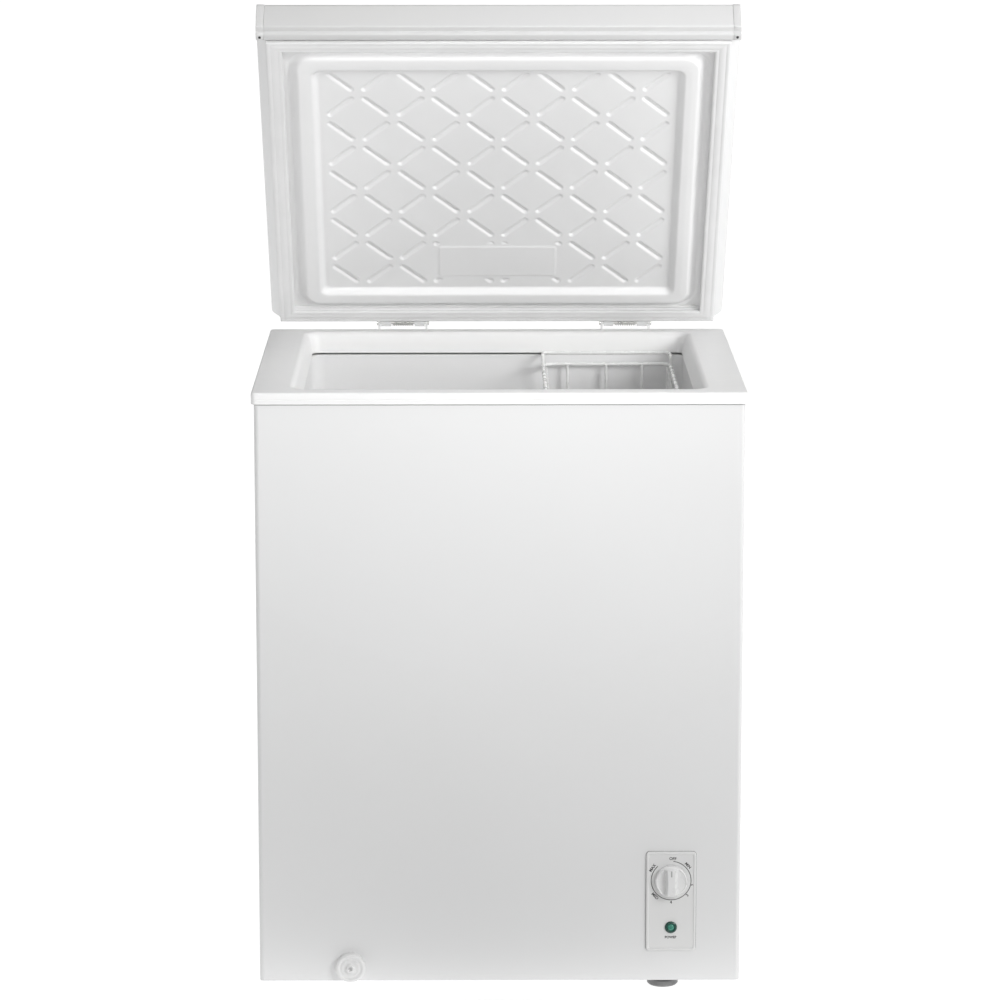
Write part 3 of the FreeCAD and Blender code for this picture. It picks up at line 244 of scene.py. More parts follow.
def lens_material(name, dark, light, roughness):
    """Tinted lamp plastic with fine prism facets."""
    material = new_material(name, light, roughness, coat=0.6)
    vary_color(material, dark, light, 900)
    vary_roughness(material, roughness * 0.7, roughness * 1.4, 500)
    add_bump(material, 1400, 0.0001)
    return material


def ink_material():
    """Near-black printing ink."""
    material = new_material("print_ink", (0.05, 0.05, 0.05), 0.5)
    vary_color(material, (0.035, 0.035, 0.035), (0.07, 0.07, 0.07), 300)
    vary_roughness(material, 0.4, 0.6, 200)
    return material


STEEL = painted_steel()
RIM_PLASTIC = moulded_white("rim_plastic", 0.88, 0.42)
RAIL_PLASTIC = moulded_white("rail_plastic", 0.66, 0.42)
PANEL_PLASTIC = moulded_white("panel_plastic", 0.74, 0.34)
CAP_PLASTIC = moulded_white("cap_plastic", 0.78, 0.42)
KNOB_PLASTIC = moulded_white("knob_plastic", 0.78, 0.28)
# White liner sheets, their tones set lighter than the steel's so that the shaded inside of the tub
# and the lid's inner face come out bright: painted light.
LINER_SHADE_LIFTED = formed_sheet("liner_sheet", 0.84)
LID_LINER_SHADE_LIFTED = formed_sheet("lid_liner_sheet", 0.86)
GASKET = soft_vinyl()
WIRE = coated_wire()
ZINC = spangled_zinc()
COPPER = plain_metal("copper_tube", (0.78, 0.42, 0.27), 0.32)
BRIGHT = plain_metal("bright_zinc", (0.72, 0.72, 0.70), 0.28)
BLACK_ENAMEL = dark_plastic("black_enamel", 0.025, 0.3)
BLACK_PLASTIC = dark_plastic("black_plastic", 0.035, 0.5)
BLACK_RUBBER = dark_plastic("black_rubber", 0.03, 0.75)
# Dark grey strip material: it paints the shadow line under the rim's lip and round the control
# panel.
SHADOW_GAP_STRIP = dark_plastic("painted_shadow_gap", 0.22, 0.85)
FOOT_PLASTIC = dark_plastic("foot_plastic", 0.22, 0.38)
FOAM = foam_material()
LAMP_DARK = lens_material("lamp_ring_green", (0.0, 0.035, 0.025), (0.005, 0.07, 0.05), 0.2)
LAMP_GREEN = lens_material("lamp_lens_green", (0.01, 0.14, 0.10), (0.05, 0.33, 0.23), 0.25)
INK = ink_material()
MARK = moulded_white("mark_grey", 0.38, 0.5)

NODE_MATERIALS = {
    "outer_shell": STEEL, "back_panel": STEEL, "base_pan": ZINC, "top_frame": RIM_PLASTIC,
    "inner_liner": LINER_SHADE_LIFTED, "cabinet_foam": FOAM, "lid_foam": FOAM,
    "evaporator_tube": COPPER, "condenser_tube": ZINC, "suction_line": COPPER,
    "discharge_line": COPPER, "filter_drier": COPPER,
    "foot_front_right": FOOT_PLASTIC, "foot_front_left": FOOT_PLASTIC,
    "foot_rear_right": FOOT_PLASTIC, "foot_rear_left": FOOT_PLASTIC,
    "control_bezel": PANEL_PLASTIC, "thermostat_knob": KNOB_PLASTIC,
    "thermostat_body": BLACK_PLASTIC, "thermostat_shaft": BRIGHT,
    "lamp_ring": LAMP_DARK, "lamp_lens": LAMP_GREEN, "lamp_holder": BLACK_PLASTIC,
    "drain_flange": CAP_PLASTIC, "drain_tube": CAP_PLASTIC, "drain_cap": CAP_PLASTIC,
    "drain_plug": GASKET, "compressor_pot": BLACK_ENAMEL, "compressor_plate": ZINC,
    "compressor_grommets": BLACK_RUBBER, "compressor_studs": BRIGHT,
    "relay_cover": BLACK_PLASTIC, "rear_grille": RIM_PLASTIC, "cord_gland": BLACK_RUBBER,
    "lid_skin": STEEL, "lid_rail": RIM_PLASTIC, "lid_cap_left": RIM_PLASTIC,
    "lid_cap_right": RIM_PLASTIC, "lid_liner": LID_LINER_SHADE_LIFTED, "lid_gasket": GASKET,
    "hinge_bracket_left": STEEL, "hinge_bracket_right": STEEL,
    "hinge_leaf_left": STEEL, "hinge_leaf_right": STEEL,
    "hinge_pin_left": BRIGHT, "hinge_pin_right": BRIGHT,
    "hinge_spring_left": BRIGHT, "hinge_spring_right": BRIGHT,
    "hinge_screws_cabinet": BRIGHT, "hinge_screws_lid": BRIGHT, "basket": WIRE,
}
for name, material in NODE_MATERIALS.items():
    slots = nodes[name].data.materials
    slots.clear()
    slots.append(material)


# ------------------------------------------------------------ mesh helpers

def make_object(name, vertices, faces, material, body, sharp=35):
    """A mesh piece that rides on a body, shaded smooth up to an angle."""
    mesh = bpy.data.meshes.new(name)
    mesh.from_pydata([tuple(vertex) for vertex in vertices], [], faces)
    mesh.update()
    piece = bpy.data.objects.new(name, mesh)
    bpy.context.scene.collection.objects.link(piece)
    mesh.materials.append(material)
    working = bmesh.new()
    working.from_mesh(mesh)
    bmesh.ops.recalc_face_normals(working, faces=working.faces)
    for edge in working.edges:
        if len(edge.link_faces) == 2:
            edge.smooth = edge.calc_face_angle(0) < math.radians(sharp)
    for face in working.faces:
        face.smooth = True
    working.to_mesh(mesh)
    working.free()
    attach(piece, body)
    return piece


def rounded_loop(left, right, near, far, radius, steps=10):
    """Points of a rounded rectangle, anticlockwise from above."""
    least_radius = 0.1 * MM
    points = []
    radius = max(radius, least_radius)
    corners = [
        (right - radius, near + radius, -90),
        (right - radius, far - radius, 0),
        (left + radius, far - radius, 90),
        (left + radius, near + radius, 180),
    ]
    for x, y, start in corners:
        for step in range(steps + 1):
            angle = math.radians(start + 90 * step / steps)
            points.append((x + radius * math.cos(angle), y + radius * math.sin(angle)))
    return points


def stack_loops(loops, close_start=True, close_end=True, closed=False):
    """Vertices and faces that join equal loops one after another."""
    count = len(loops[0])
    vertices = [vertex for loop in loops for vertex in loop]
    faces = []
    pairs = len(loops) if closed else len(loops) - 1
    for level in range(pairs):
        here = level * count
        ahead = ((level + 1) % len(loops)) * count
        for index in range(count):
            following = (index + 1) % count
            faces.append((here + index, here + following, ahead + following, ahead + index))
    if not closed and close_start:
        faces.append(tuple(reversed(range(count))))
    if not closed and close_end:
        last = (len(loops) - 1) * count
        faces.append(tuple(range(last, last + count)))
    return vertices, faces


def arc_points(centre, radius, start, end, steps):
    """Points on an arc in a profile's plane, angles in degrees."""
    points = []
    for step in range(steps + 1):
        angle = math.radians(start + (end - start) * step / steps)
        points.append((centre[0] + radius * math.cos(angle), centre[1] + radius * math.sin(angle)))
    return points


def lathe(name, profile, centre, material, body, steps=72, sharp=40):
    """Turns (radius, out) points about an axis that points out of the freezer's front."""
    loops = []
    for radius, out in profile:
        loop = []
        for step in range(steps):
            angle = 2 * math.pi * step / steps
            loop.append(Vector((
                centre.x + radius * math.cos(angle),
                centre.y - out,
                centre.z + radius * math.sin(angle),
            )))
        loops.append(loop)
    vertices, faces = stack_loops(loops)
    return make_object(name, vertices, faces, material, body, sharp=sharp)


# ------------------------------------------------------------ cabinet rim

def make_rim():
    """Moulded rim: outer lip, flat top, round shoulder and a drafted skirt.

    A section point is (across, up, inner): inner is 0 on the outer wall and 1 round the opening.
    """
    lip = 15 * MM
    side_flat = 46 * MM
    end_flat = 26 * MM
    shoulder = 8 * MM
    skirt = 28 * MM
    edge = 2.6 * MM
    foot = 8.8 * MM
    outer_corner = 7 * MM
    opening_corner = 26 * MM
    section = [(6.4, -lip / MM), (0.6, -lip / MM), (0.0, -lip / MM + 0.6), (0.0, -9.6),
               (0.35, -9.2), (0.35, -8.8), (0.0, -8.4)]
    section = [(across * MM, up * MM, 0) for across, up in section]
    section += [(x, z, 0) for x, z in arc_points((edge, -edge), edge, 180, 90, 6)]
    for x, z in arc_points((0, -shoulder), shoulder, 90, 14, 10):
        section.append((x, z, 1))
    section += [(foot + 4.6 * MM, -skirt + 1.2 * MM, 1), (foot + 4.2 * MM, -skirt + 0.3 * MM, 1),
                (foot + 3.4 * MM, -skirt, 1), (foot + 1.6 * MM, -skirt, 1),
                (foot - 1.5 * MM, -12 * MM, 1), (-3 * MM, -10 * MM, 1)]
    loops = []
    for across, up, inner in section:
        side = side_flat * inner + across
        end = end_flat * inner + across
        if inner and across > foot:
            # the lower lip is short at the front and back, clear of the basket's end bars
            end = end_flat + foot + (across - foot) * 0.2
        radius = opening_corner - across * 1.1 if inner else outer_corner - across
        loop = rounded_loop(RIM_LOW.x + side, RIM_HIGH.x - side, RIM_LOW.y + end,
                            RIM_HIGH.y - end, radius)
        loops.append([Vector((x, y, RIM_TOP + up)) for x, y in loop])
    vertices, faces = stack_loops(loops, closed=True)
    rim = make_object("rim_moulding", vertices, faces, RIM_PLASTIC, "cabinet")
    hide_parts("top_frame")
    # A thin dark grey strip just below the lip paints the shadow line between rim and shell, shaped
    # like a seal strip.
    shell_corner = 5
    loops = []
    for out, up in ((-0.6, 1.5), (0.3, 1.5), (0.3, -1.1), (-0.6, -1.1)):
        loop = rounded_loop(SHELL_LOW.x - out * MM, SHELL_HIGH.x + out * MM,
                            SHELL_LOW.y - out * MM, SHELL_HIGH.y + out * MM,
                            (shell_corner + out) * MM)
        loops.append([Vector((x, y, RIM_TOP - lip + up * MM)) for x, y in loop])
    vertices, faces = stack_loops(loops, closed=True)
    make_object("rim_shadow_line_strip", vertices, faces, SHADOW_GAP_STRIP, "cabinet")


# ------------------------------------------------------------ lid

def make_lid_skin():
    """Folded lid pan: chamfered lower edge, round shoulders and a raised top panel."""
    skin = LID_SKIN
    peak = LID_SKIN + LID_DOME
    shoulder = 9 * MM
    panel_from = 11.5 * MM
    tuck = 4.8 * MM
    section = [(13.2, 4.6), (13.1, 0.0), (12.8, -1.0), (12.2, -1.5), (11.5, -1.2), (11.0, -0.3),
               (10.6, 0.7), (1.6, 9.2), (0.5, 10.6), (0.0, 12.4), (0.0, 14.0)]
    section = [(across * MM, up * MM) for across, up in section]
    section += arc_points((shoulder, skin - shoulder), shoulder, 180, 90, 10)
    section += [(20 * MM, skin), (22.5 * MM, skin + 0.5 * MM), (27 * MM, peak - 2.6 * MM),
                (28.4 * MM, peak - 1.0 * MM), (30.5 * MM, peak - 0.2 * MM), (34 * MM, peak)]
    loops = []
    half = LID_WIDE / 2
    for inset, up in section:
        front = RAIL_DEEP + 0.2 * MM + max(0, inset - 12 * MM) * 0.75
        rear = inset if inset > panel_from else inset * 0.9
        if up < LEDGE:
            rear = min(inset, tuck)
        radius = max(shoulder - inset * 0.5, 2 * MM)
        if inset > 19 * MM:
            radius = 8 * MM
        loop = rounded_loop(-half + inset, half - inset, front, LID_LONG - rear, radius, 6)
        loops.append([lid_place(x, y, up) for x, y in loop])
    vertices, faces = stack_loops(loops, close_start=False)
    skin_piece = make_object("lid_pan", vertices, faces, STEEL, "lid")
    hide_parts("lid_skin")


def rail_section(grow):
    """(along, up) outline of the handle rail, from its rear top round the front to the bead."""
    top = LID_SKIN + grow
    front = 1.6 * MM - grow * 0.7
    round_over = 10.4 * MM
    lower_round = 2 * MM
    points = [(RAIL_DEEP, top), (14 * MM, top)]
    points += arc_points((front + round_over, top - round_over), round_over, 86, 176, 10)
    points += [(front, 3.2 * MM)]
    points += arc_points((front + lower_round, 1.2 * MM), lower_round, 180, 262, 6)
    points += [(8.6 * MM, -0.4 * MM), (9.4 * MM, -0.7 * MM), (9.9 * MM, -1.6 * MM)]
    points += arc_points((13.2 * MM, -2.4 * MM - grow * 0.2), 3.2 * MM, 185, 270, 6)
    points += arc_points((19 * MM, -2.2 * MM - grow * 0.2), 3.4 * MM, 270, 350, 6)
    points += [(RAIL_DEEP, 1.2 * MM)]
    return points


def extrude_section(name, section, start, end, material):
    """Runs a lid section across the lid, drawn in slightly at both ends."""
    centre_along = sum(point[0] for point in section) / len(section)
    centre_up = sum(point[1] for point in section) / len(section)
    ease = 0.8 * MM
    stations = [(start, 0.965), (start + ease * 0.4, 0.99), (start + ease, 1.0),
                (end - ease, 1.0), (end - ease * 0.4, 0.99), (end, 0.965)]
    loops = []
    for across, scale in stations:
        loop = []
        for along, up in section:
            loop.append(lid_place(
                across,
                centre_along + (along - centre_along) * scale,
                centre_up + (up - centre_up) * scale,
            ))
        loops.append(loop)
    vertices, faces = stack_loops(loops)
    return make_object(name, vertices, faces, material, "lid")


def make_lid_rail():
    """Handle rail with a finger bead, and a cap on each end; a thin black plug under each cap paints
    the shade of its release slot.
    """
    half = LID_WIDE / 2
    gap = 0.15 * MM
    cap_grow = 0.6 * MM
    slot_wide, slot_long, slot_round = 1.6 * MM, 2.2 * MM, 1.4 * MM
    slot_along = 15.6 * MM
    cap_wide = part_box("lid_cap_left")[1][0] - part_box("lid_cap_left")[0][0]
    rail = extrude_section("handle_rail", rail_section(0), -half + cap_wide + gap,
                           half - cap_wide - gap, RAIL_PLASTIC)
    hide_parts("lid_rail")
    sides = {"left": (-half, -half + cap_wide), "right": (half - cap_wide, half)}
    for side, (start, end) in sides.items():
        cap = extrude_section("rail_cap_" + side, rail_section(cap_grow), start, end,
                              RAIL_PLASTIC)
        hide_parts("lid_cap_" + side)
        middle = (start + end) / 2
        # A thin black plug just under the cap paints the shade inside the release slot; no hole is
        # cut.
        slot_shade_loops = []
        for up, size in ((-5.94, 1.0), (-5.942, 0.8), (-5.3, 0.7)):
            loop = rounded_loop(middle - slot_wide * size, middle + slot_wide * size,
                                slot_along - slot_long * size, slot_along + slot_long * size,
                                slot_round * size, 4)
            slot_shade_loops.append([lid_place(x, y, up * MM) for x, y in loop])
        vertices, faces = stack_loops(slot_shade_loops)
        make_object("cap_slot_shade_" + side, vertices, faces, BLACK_PLASTIC, "lid")


def smooth_step(value, low, high):
    """0 below low, 1 above high, and a smooth rise between."""
    scaled = np.clip((value - low) / (high - low), 0, 1)
    return scaled * scaled * (3 - 2 * scaled)


def rectangle_distance(x, y, half_x, low_y, high_y, radius):
    """Signed distance to a rounded rectangle centred on x = 0; negative inside."""
    middle = (low_y + high_y) / 2
    half_y = (high_y - low_y) / 2
    dx = np.abs(x) - (half_x - radius)
    dy = np.abs(y - middle) - (half_y - radius)
    outside = np.hypot(np.maximum(dx, 0), np.maximum(dy, 0))
    inside = np.minimum(np.maximum(dx, dy), 0)
    return outside + inside - radius


def diamond_grooves(x, y):
    """Depth share, 0 to 1, of the pressed diagonal grooves at a point in millimetres."""
    half_pitch = 45.8
    first_row = 128
    end_gap = 12.7
    floor_half, wall_half = 1.0, 4.8
    reach = half_pitch * math.sqrt(2)
    a = (x + (y - first_row)) / (2 * half_pitch)
    b = (x - (y - first_row)) / (2 * half_pitch)
    share = np.zeros_like(x)
    for across, along in ((a, b), (b, a)):
        off = reach * np.abs(along - np.round(along))
        run = reach * np.abs(across - np.round(across))
        distance = np.hypot(off, np.maximum(end_gap - run, 0))
        share = np.maximum(share, 1 - smooth_step(distance, floor_half, wall_half))
    return share


def liner_height(x, y):
    """Height of the lid's inner face above the lid's lower edge, in millimetres."""
    frame_deep, crown_deep, crown_wide = 8.2, 0.6, 12
    groove_deep, label_deep = 2.8, 0.9
    half = LID_WIDE / 2 / MM
    long = LID_LONG / MM
    outer = rectangle_distance(x, y, half - 46.6, 54, long - 32.5, 24)
    inner = rectangle_distance(x, y, half - 72.9, 81.2, long - 57.5, 8)
    rise = (1 - smooth_step(outer, -6.2, 5.2)) * smooth_step(inner, -4.6, 4.8)
    crown = np.clip(np.minimum(-outer, inner) / crown_wide, 0, 1)
    height = LEDGE / MM - frame_deep * rise - crown_deep * crown * rise
    height += 0.9 * np.exp(-((outer - 6.4) / 1.3) ** 2)
    height -= 0.5 * np.exp(-((outer - 10.0) / 1.5) ** 2)
    height += 0.35 * np.exp(-((inner + 5.2) / 1.6) ** 2)
    label = rectangle_distance(x, y, 80, 417, 476, 5)
    keep = smooth_step(-inner, 8, 13) * smooth_step(label, 4, 8)
    height += groove_deep * diamond_grooves(x, y) * keep
    height -= label_deep * (1 - smooth_step(label, -1.6, 0.4))
    return height


def make_lid_liner():
    """Vacuum-formed inner face of the lid, pressed with a frame and diamond grooves."""
    step = 1.5
    side_inset, front_inset, rear_inset = 12.2, 0.4, 4.6
    thickness = 2.5 * MM
    half = LID_WIDE / 2 / MM - side_inset
    low = RAIL_DEEP / MM + front_inset
    high = LID_LONG / MM - rear_inset
    columns = int(2 * half / step)
    rows = int((high - low) / step)
    xs = np.linspace(-half, half, columns + 1)
    ys = np.linspace(low, high, rows + 1)
    grid_x, grid_y = np.meshgrid(xs, ys)
    heights = liner_height(grid_x, grid_y)
    turn = np.array(LID_TURN)
    closed = np.stack([
        grid_x.ravel() * MM,
        LID_REAR - LID_LONG + grid_y.ravel() * MM,
        LID_LOW + heights.ravel() * MM,
        np.ones(grid_x.size),
    ])
    opened = (turn @ closed)[:3].T
    wide = columns + 1
    start = np.arange(rows)[:, None] * wide + np.arange(columns)[None, :]
    start = start.ravel()
    faces = np.stack([start, start + 1, start + wide + 1, start + wide], axis=1)
    rim = list(range(wide)) + [row * wide + columns for row in range(1, rows + 1)]
    rim += [rows * wide + column for column in range(columns - 1, -1, -1)]
    rim += [row * wide for row in range(rows - 1, 0, -1)]
    back = np.array(closed[:, rim])
    back[2] = LID_LOW + LEDGE + thickness
    back = (turn @ back)[:3].T
    base = len(opened)
    vertices = opened.tolist() + back.tolist()
    face_list = faces.tolist()
    count = len(rim)
    for index in range(count):
        following = (index + 1) % count
        face_list.append((rim[index], base + index, base + following, rim[following]))
    face_list.append(tuple(range(base, base + count)))
    liner = make_object("lid_inner_face", vertices, face_list, LID_LINER_SHADE_LIFTED, "lid",
                        sharp=60)
    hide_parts("lid_liner")


def make_gasket():
    """Magnetic gasket: retaining foot, bellows and a broad magnet face, mitred at the corners."""
    section = [(1.0, 4.9), (0.2, 4.2), (0.0, 2.6), (0.3, 0.4), (0.2, -0.4), (0.9, -1.1), (0.2, -1.9),
               (0.1, -6.6), (0.5, -7.8), (1.5, -8.4), (4.6, -8.5), (5.2, -8.2), (5.9, -8.2),
               (6.5, -8.5), (14.0, -8.4), (14.6, -8.1), (15.3, -8.1), (15.9, -8.4),
               (18.4, -8.3), (19.8, -7.6), (20.3, -6.6), (20.1, -4.4), (18.2, -3.0), (17.4, -2.2),
               (18.6, -1.2), (20.0, -0.4), (19.8, 0.8), (18.2, 1.9), (19.4, 2.9), (20.3, 3.8),
               (19.8, 4.9)]
    half = LID_WIDE / 2
    side_inset, front_inset, rear_inset = 12.5 * MM, 23.0 * MM, 5.0 * MM
    mitre_round = 0.5 * MM
    loops = []
    for across, up in section:
        side = side_inset + across * MM
        front = front_inset + across * MM * 0.88
        rear = rear_inset + across * MM * 0.98
        loop = rounded_loop(-half + side, half - side, front, LID_LONG - rear, mitre_round, 2)
        loops.append([lid_place(x, y, up * MM) for x, y in loop])
    vertices, faces = stack_loops(loops, closed=True)
    gasket = make_object("magnetic_gasket", vertices, faces, GASKET, "lid",
                         sharp=50)
    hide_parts("lid_gasket")


# ------------------------------------------------------------ control panel

def panel_loop(inset, out, radius):
    """Rounded outline inside the panel's edge, standing out from the cabinet's front."""
    loop = rounded_loop(PANEL_LOW.x + inset, PANEL_HIGH.x - inset, PANEL_LOW.z + inset,
                        PANEL_HIGH.z - inset, radius, 8)
    return [Vector((x, SHELL_LOW.y - out, z)) for x, z in loop]


def make_panel():
    """Panel moulding with a soft outer edge, a raised border and a sunken face.

    A thin dark grey strip round the panel paints the shadow gap at its edge.
    """
    proud = SHELL_LOW.y - PANEL_LOW.y
    border_out = 3.0
    section = [(5.0, -6.0, 1.0), (5.0, 0.0, 1.0), (0.8, 0.02, 3.6), (0.0, 0.5, 4.2),
               (0.0, 1.8, 4.2), (0.35, 2.6, 4.0), (1.1, 3.0, 3.6), (2.5, 3.0, 2.8),
               (3.0, 2.8, 2.6), (3.5, 2.15, 2.4), (4.0, 2.1, 2.2)]
    loops = []
    for inset, out, radius in section:
        stand = out / border_out * proud if out > 0 else out * MM
        loops.append(panel_loop(inset * MM, stand, radius * MM))
    vertices, faces = stack_loops(loops, close_start=False)
    panel = make_object("panel_moulding", vertices, faces, PANEL_PLASTIC, "cabinet")
    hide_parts("control_bezel")
    # Dark grey strip round the panel: painted shadow gap at its edge.
    edge = 0.45 * MM
    thick = edge * 0.4
    loops = [panel_loop(1 * MM, 0.0, 3 * MM), panel_loop(1 * MM, thick, 3 * MM),
             panel_loop(-edge, thick, 4.6 * MM), panel_loop(-edge, 0.0, 4.6 * MM)]
    vertices, faces = stack_loops(loops, closed=True)
    make_object("panel_shadow_line_strip", vertices, faces, SHADOW_GAP_STRIP, "cabinet")


KNOB_CENTRE = Vector((
    (KNOB_LOW.x + KNOB_HIGH.x) / 2,
    PANEL_LOW.y,
    (KNOB_LOW.z + KNOB_HIGH.z) / 2,
))
KNOB_RADIUS = (KNOB_HIGH.x - KNOB_LOW.x) / 2
PANEL_FACE = SHELL_LOW.y - 2.1 * MM
PRINT_THICK = 0.05 * MM


def make_knob():
    """Thermostat knob: a rolled rim, a dished face and a grip ridge that swells at both ends."""
    steps_round = 96
    rings = 40
    out_max = PANEL_LOW.y - KNOB_LOW.y
    vertices = []
    for ring in range(rings + 1):
        share = ring / rings
        for step in range(steps_round):
            angle = 2 * math.pi * step / steps_round
            radius = KNOB_RADIUS * share
            x = radius * math.cos(angle)
            z = radius * math.sin(angle)
            edge = KNOB_RADIUS - radius
            rim = 1 - min(max((edge - 0.2 * MM) / (2.4 * MM), 0), 1)
            dish = 5.2 * MM + 1.6 * MM * share ** 2
            face = dish + 0.7 * MM * math.sin(min(rim, 1) * math.pi)
            if edge < 1.2 * MM:
                face = dish * (1 - (1 - edge / (1.2 * MM)) ** 2 * 0.35)
            waist = 4.4 * MM + 1.7 * MM * (abs(z) / KNOB_RADIUS) ** 2
            flank = min(max((abs(x) - waist) / (3.4 * MM), 0), 1)
            fall = flank * flank * (3 - 2 * flank)
            crest = out_max - 0.2 * MM - 1.2 * MM * (abs(z) / KNOB_RADIUS) ** 4
            ridge_end = min(max((KNOB_RADIUS - 1.6 * MM - radius) / (2.0 * MM), 0), 1)
            ridge = (crest - face) * (1 - fall) * ridge_end
            vertices.append(Vector((KNOB_CENTRE.x + x, PANEL_LOW.y - face - max(ridge, 0),
                                    KNOB_CENTRE.z + z)))
    faces = []
    for ring in range(1, rings):
        here = ring * steps_round
        ahead = here + steps_round
        for step in range(steps_round):
            following = (step + 1) % steps_round
            faces.append((here + step, here + following, ahead + following, ahead + step))
    faces.append(tuple(range(steps_round, 2 * steps_round)))
    base = len(vertices)
    for out in (4.2, 1.4, 0.4):
        for step in range(steps_round):
            angle = 2 * math.pi * step / steps_round
            flute = 0.22 * MM * (1 + math.cos(48 * angle)) if out > 1 else 0
            radius = KNOB_RADIUS - flute
            vertices.append(Vector((KNOB_CENTRE.x + radius * math.cos(angle),
                                    PANEL_LOW.y - out * MM,
                                    KNOB_CENTRE.z + radius * math.sin(angle))))
    levels = [rings * steps_round, base, base + steps_round, base + 2 * steps_round]
    for here, ahead in zip(levels, levels[1:]):
        for step in range(steps_round):
            following = (step + 1) % steps_round
            faces.append((here + step, here + following, ahead + following, ahead + step))
    faces.append(tuple(reversed(range(levels[-1], levels[-1] + steps_round))))
    knob = make_object("dial_knob", vertices, faces, KNOB_PLASTIC, "thermostat_dial",
                       sharp=55)
    working = bmesh.new()
    working.from_mesh(knob.data)
    loose = [vertex for vertex in working.verts if not vertex.link_faces]
    bmesh.ops.delete(working, geom=loose, context="VERTS")
    working.to_mesh(knob.data)
    working.free()
    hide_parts("thermostat_knob")
    mark = rounded_loop(KNOB_CENTRE.x - 0.7 * MM, KNOB_CENTRE.x + 0.7 * MM,
                        KNOB_CENTRE.z + KNOB_RADIUS * 0.42, KNOB_CENTRE.z + KNOB_RADIUS * 0.8,
                        0.6 * MM, 4)
    crest = PANEL_LOW.y - out_max
    loops = [[Vector((x, crest + depth * MM, z)) for x, z in mark] for depth in (0.9, 0.02)]
    vertices, faces = stack_loops(loops)
    make_object("dial_mark", vertices, faces, MARK, "thermostat_dial")


def print_text(words, angle, radius, size, tangent=True):
    """Printed word on the panel's face, its centre at an angle clockwise from the top."""
    curve = bpy.data.curves.new("print_" + words.lower(), "FONT")
    curve.body = words
    curve.size = size
    curve.align_x = "CENTER"
    curve.align_y = "CENTER"
    curve.extrude = PRINT_THICK
    curve.offset = 0.16 * MM
    turn = math.radians(angle)
    spin = -turn if tangent else 0
    if tangent and 90 < angle < 270:
        spin += math.pi
    text = bpy.data.objects.new("print_" + words.lower(), curve)
    bpy.context.scene.collection.objects.link(text)
    place = Vector((KNOB_CENTRE.x + radius * math.sin(turn), PANEL_FACE,
                    KNOB_CENTRE.z + radius * math.cos(turn)))
    text.matrix_world = (
        Matrix.Translation(place)
        @ Matrix.Rotation(math.pi / 2, 4, "X")
        @ Matrix.Rotation(spin, 4, "Z")
    )
    curve.materials.append(INK)
    bpy.context.view_layer.update()
    mesh = bpy.data.meshes.new_from_object(text)
    mesh.transform(text.matrix_world)
    bpy.data.objects.remove(text)
    printed = bpy.data.objects.new("print_" + words.lower(), mesh)
    bpy.context.scene.collection.objects.link(printed)
    if not mesh.materials:
        mesh.materials.append(INK)
    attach(printed, "cabinet")


def print_ring(start, end, radius, width):
    """Printed arc of even width round the dial, between two angles clockwise from the top."""
    steps = 80
    vertices = []
    for depth in (PRINT_THICK, -PRINT_THICK):
        for step in range(steps + 1):
            share = step / steps
            turn = math.radians(start + (end - start) * share)
            for side in (-0.5, 0.5):
                reach = radius + side * width
                vertices.append(Vector((KNOB_CENTRE.x + reach * math.sin(turn),
                                        PANEL_FACE - depth,
                                        KNOB_CENTRE.z + reach * math.cos(turn))))
    layer = 2 * (steps + 1)
    faces = []
    for step in range(steps):
        a = 2 * step
        faces.append((a, a + 1, a + 3, a + 2))
        faces.append((layer + a + 2, layer + a + 3, layer + a + 1, layer + a))
        faces.append((a, a + 2, layer + a + 2, layer + a))
        faces.append((a + 1, layer + a + 1, layer + a + 3, a + 3))
    make_object("print_scale", vertices, faces, INK, "cabinet")


def make_prints():
    """Scale and words round the knob, each as (word, angle, radius), and the lamp's label."""
    print_ring(6, 318, 25.6 * MM, 0.95 * MM)
    words = (("OFF", 4, 29.0), ("MIN", 47, 29.2), ("2", 102, 28.4), ("3", 133, 28.6),
             ("4", 180, 28.8), ("MED", 225, 29.2), ("MAX", 305, 29.2))
    for word, angle, radius in words:
        print_text(word, angle, radius * MM, 5.2 * MM)
    label_below_lamp = 13.4 * MM
    lamp_height = (LAMP_LOW.z + LAMP_HIGH.z) / 2
    drop = KNOB_CENTRE.z - lamp_height + label_below_lamp
    print_text("POWER", 180, drop, 4.4 * MM, tangent=False)


def make_lamp():
    """Power lamp: a dark green bezel ring with a bright domed lens."""
    centre = Vector(((LAMP_LOW.x + LAMP_HIGH.x) / 2, PANEL_FACE,
                     (LAMP_LOW.z + LAMP_HIGH.z) / 2))
    ring_out = 1.85
    bore = 4.6
    lens_radius = 4.5 * MM
    lens_rise = 0.8 * MM
    sunk = -3
    reach = centre.y - LAMP_LOW.y
    ring = [(bore, sunk), (7.0, -2), (7.6, 0.0), (7.9, 0.3), (7.9, 0.6), (7.4, 1.25),
            (6.4, 1.75), (5.6, ring_out), (5.0, 1.6), (4.62, 0.9)]
    scale = reach / (ring_out * MM)
    profile = [(radius * MM, out * MM * (scale if out > 0 else 1)) for radius, out in ring]
    profile += [(bore * MM, sunk * MM)]
    bezel = lathe("lamp_bezel", profile, centre, LAMP_DARK, "cabinet")
    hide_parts("lamp_ring")
    dome = [(lens_radius, sunk * MM), (lens_radius, lens_rise)]
    tip = centre.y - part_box("lamp_lens")[0][1] - 0.85 * MM
    for step in range(1, 9):
        angle = math.radians(90 * step / 8.6)
        dome.append((lens_radius * math.cos(angle), lens_rise + tip * math.sin(angle)))
    lens = lathe("lamp_dome", dome, centre, LAMP_GREEN, "cabinet", sharp=60)
    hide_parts("lamp_lens")


# ------------------------------------------------------------ drain outlet

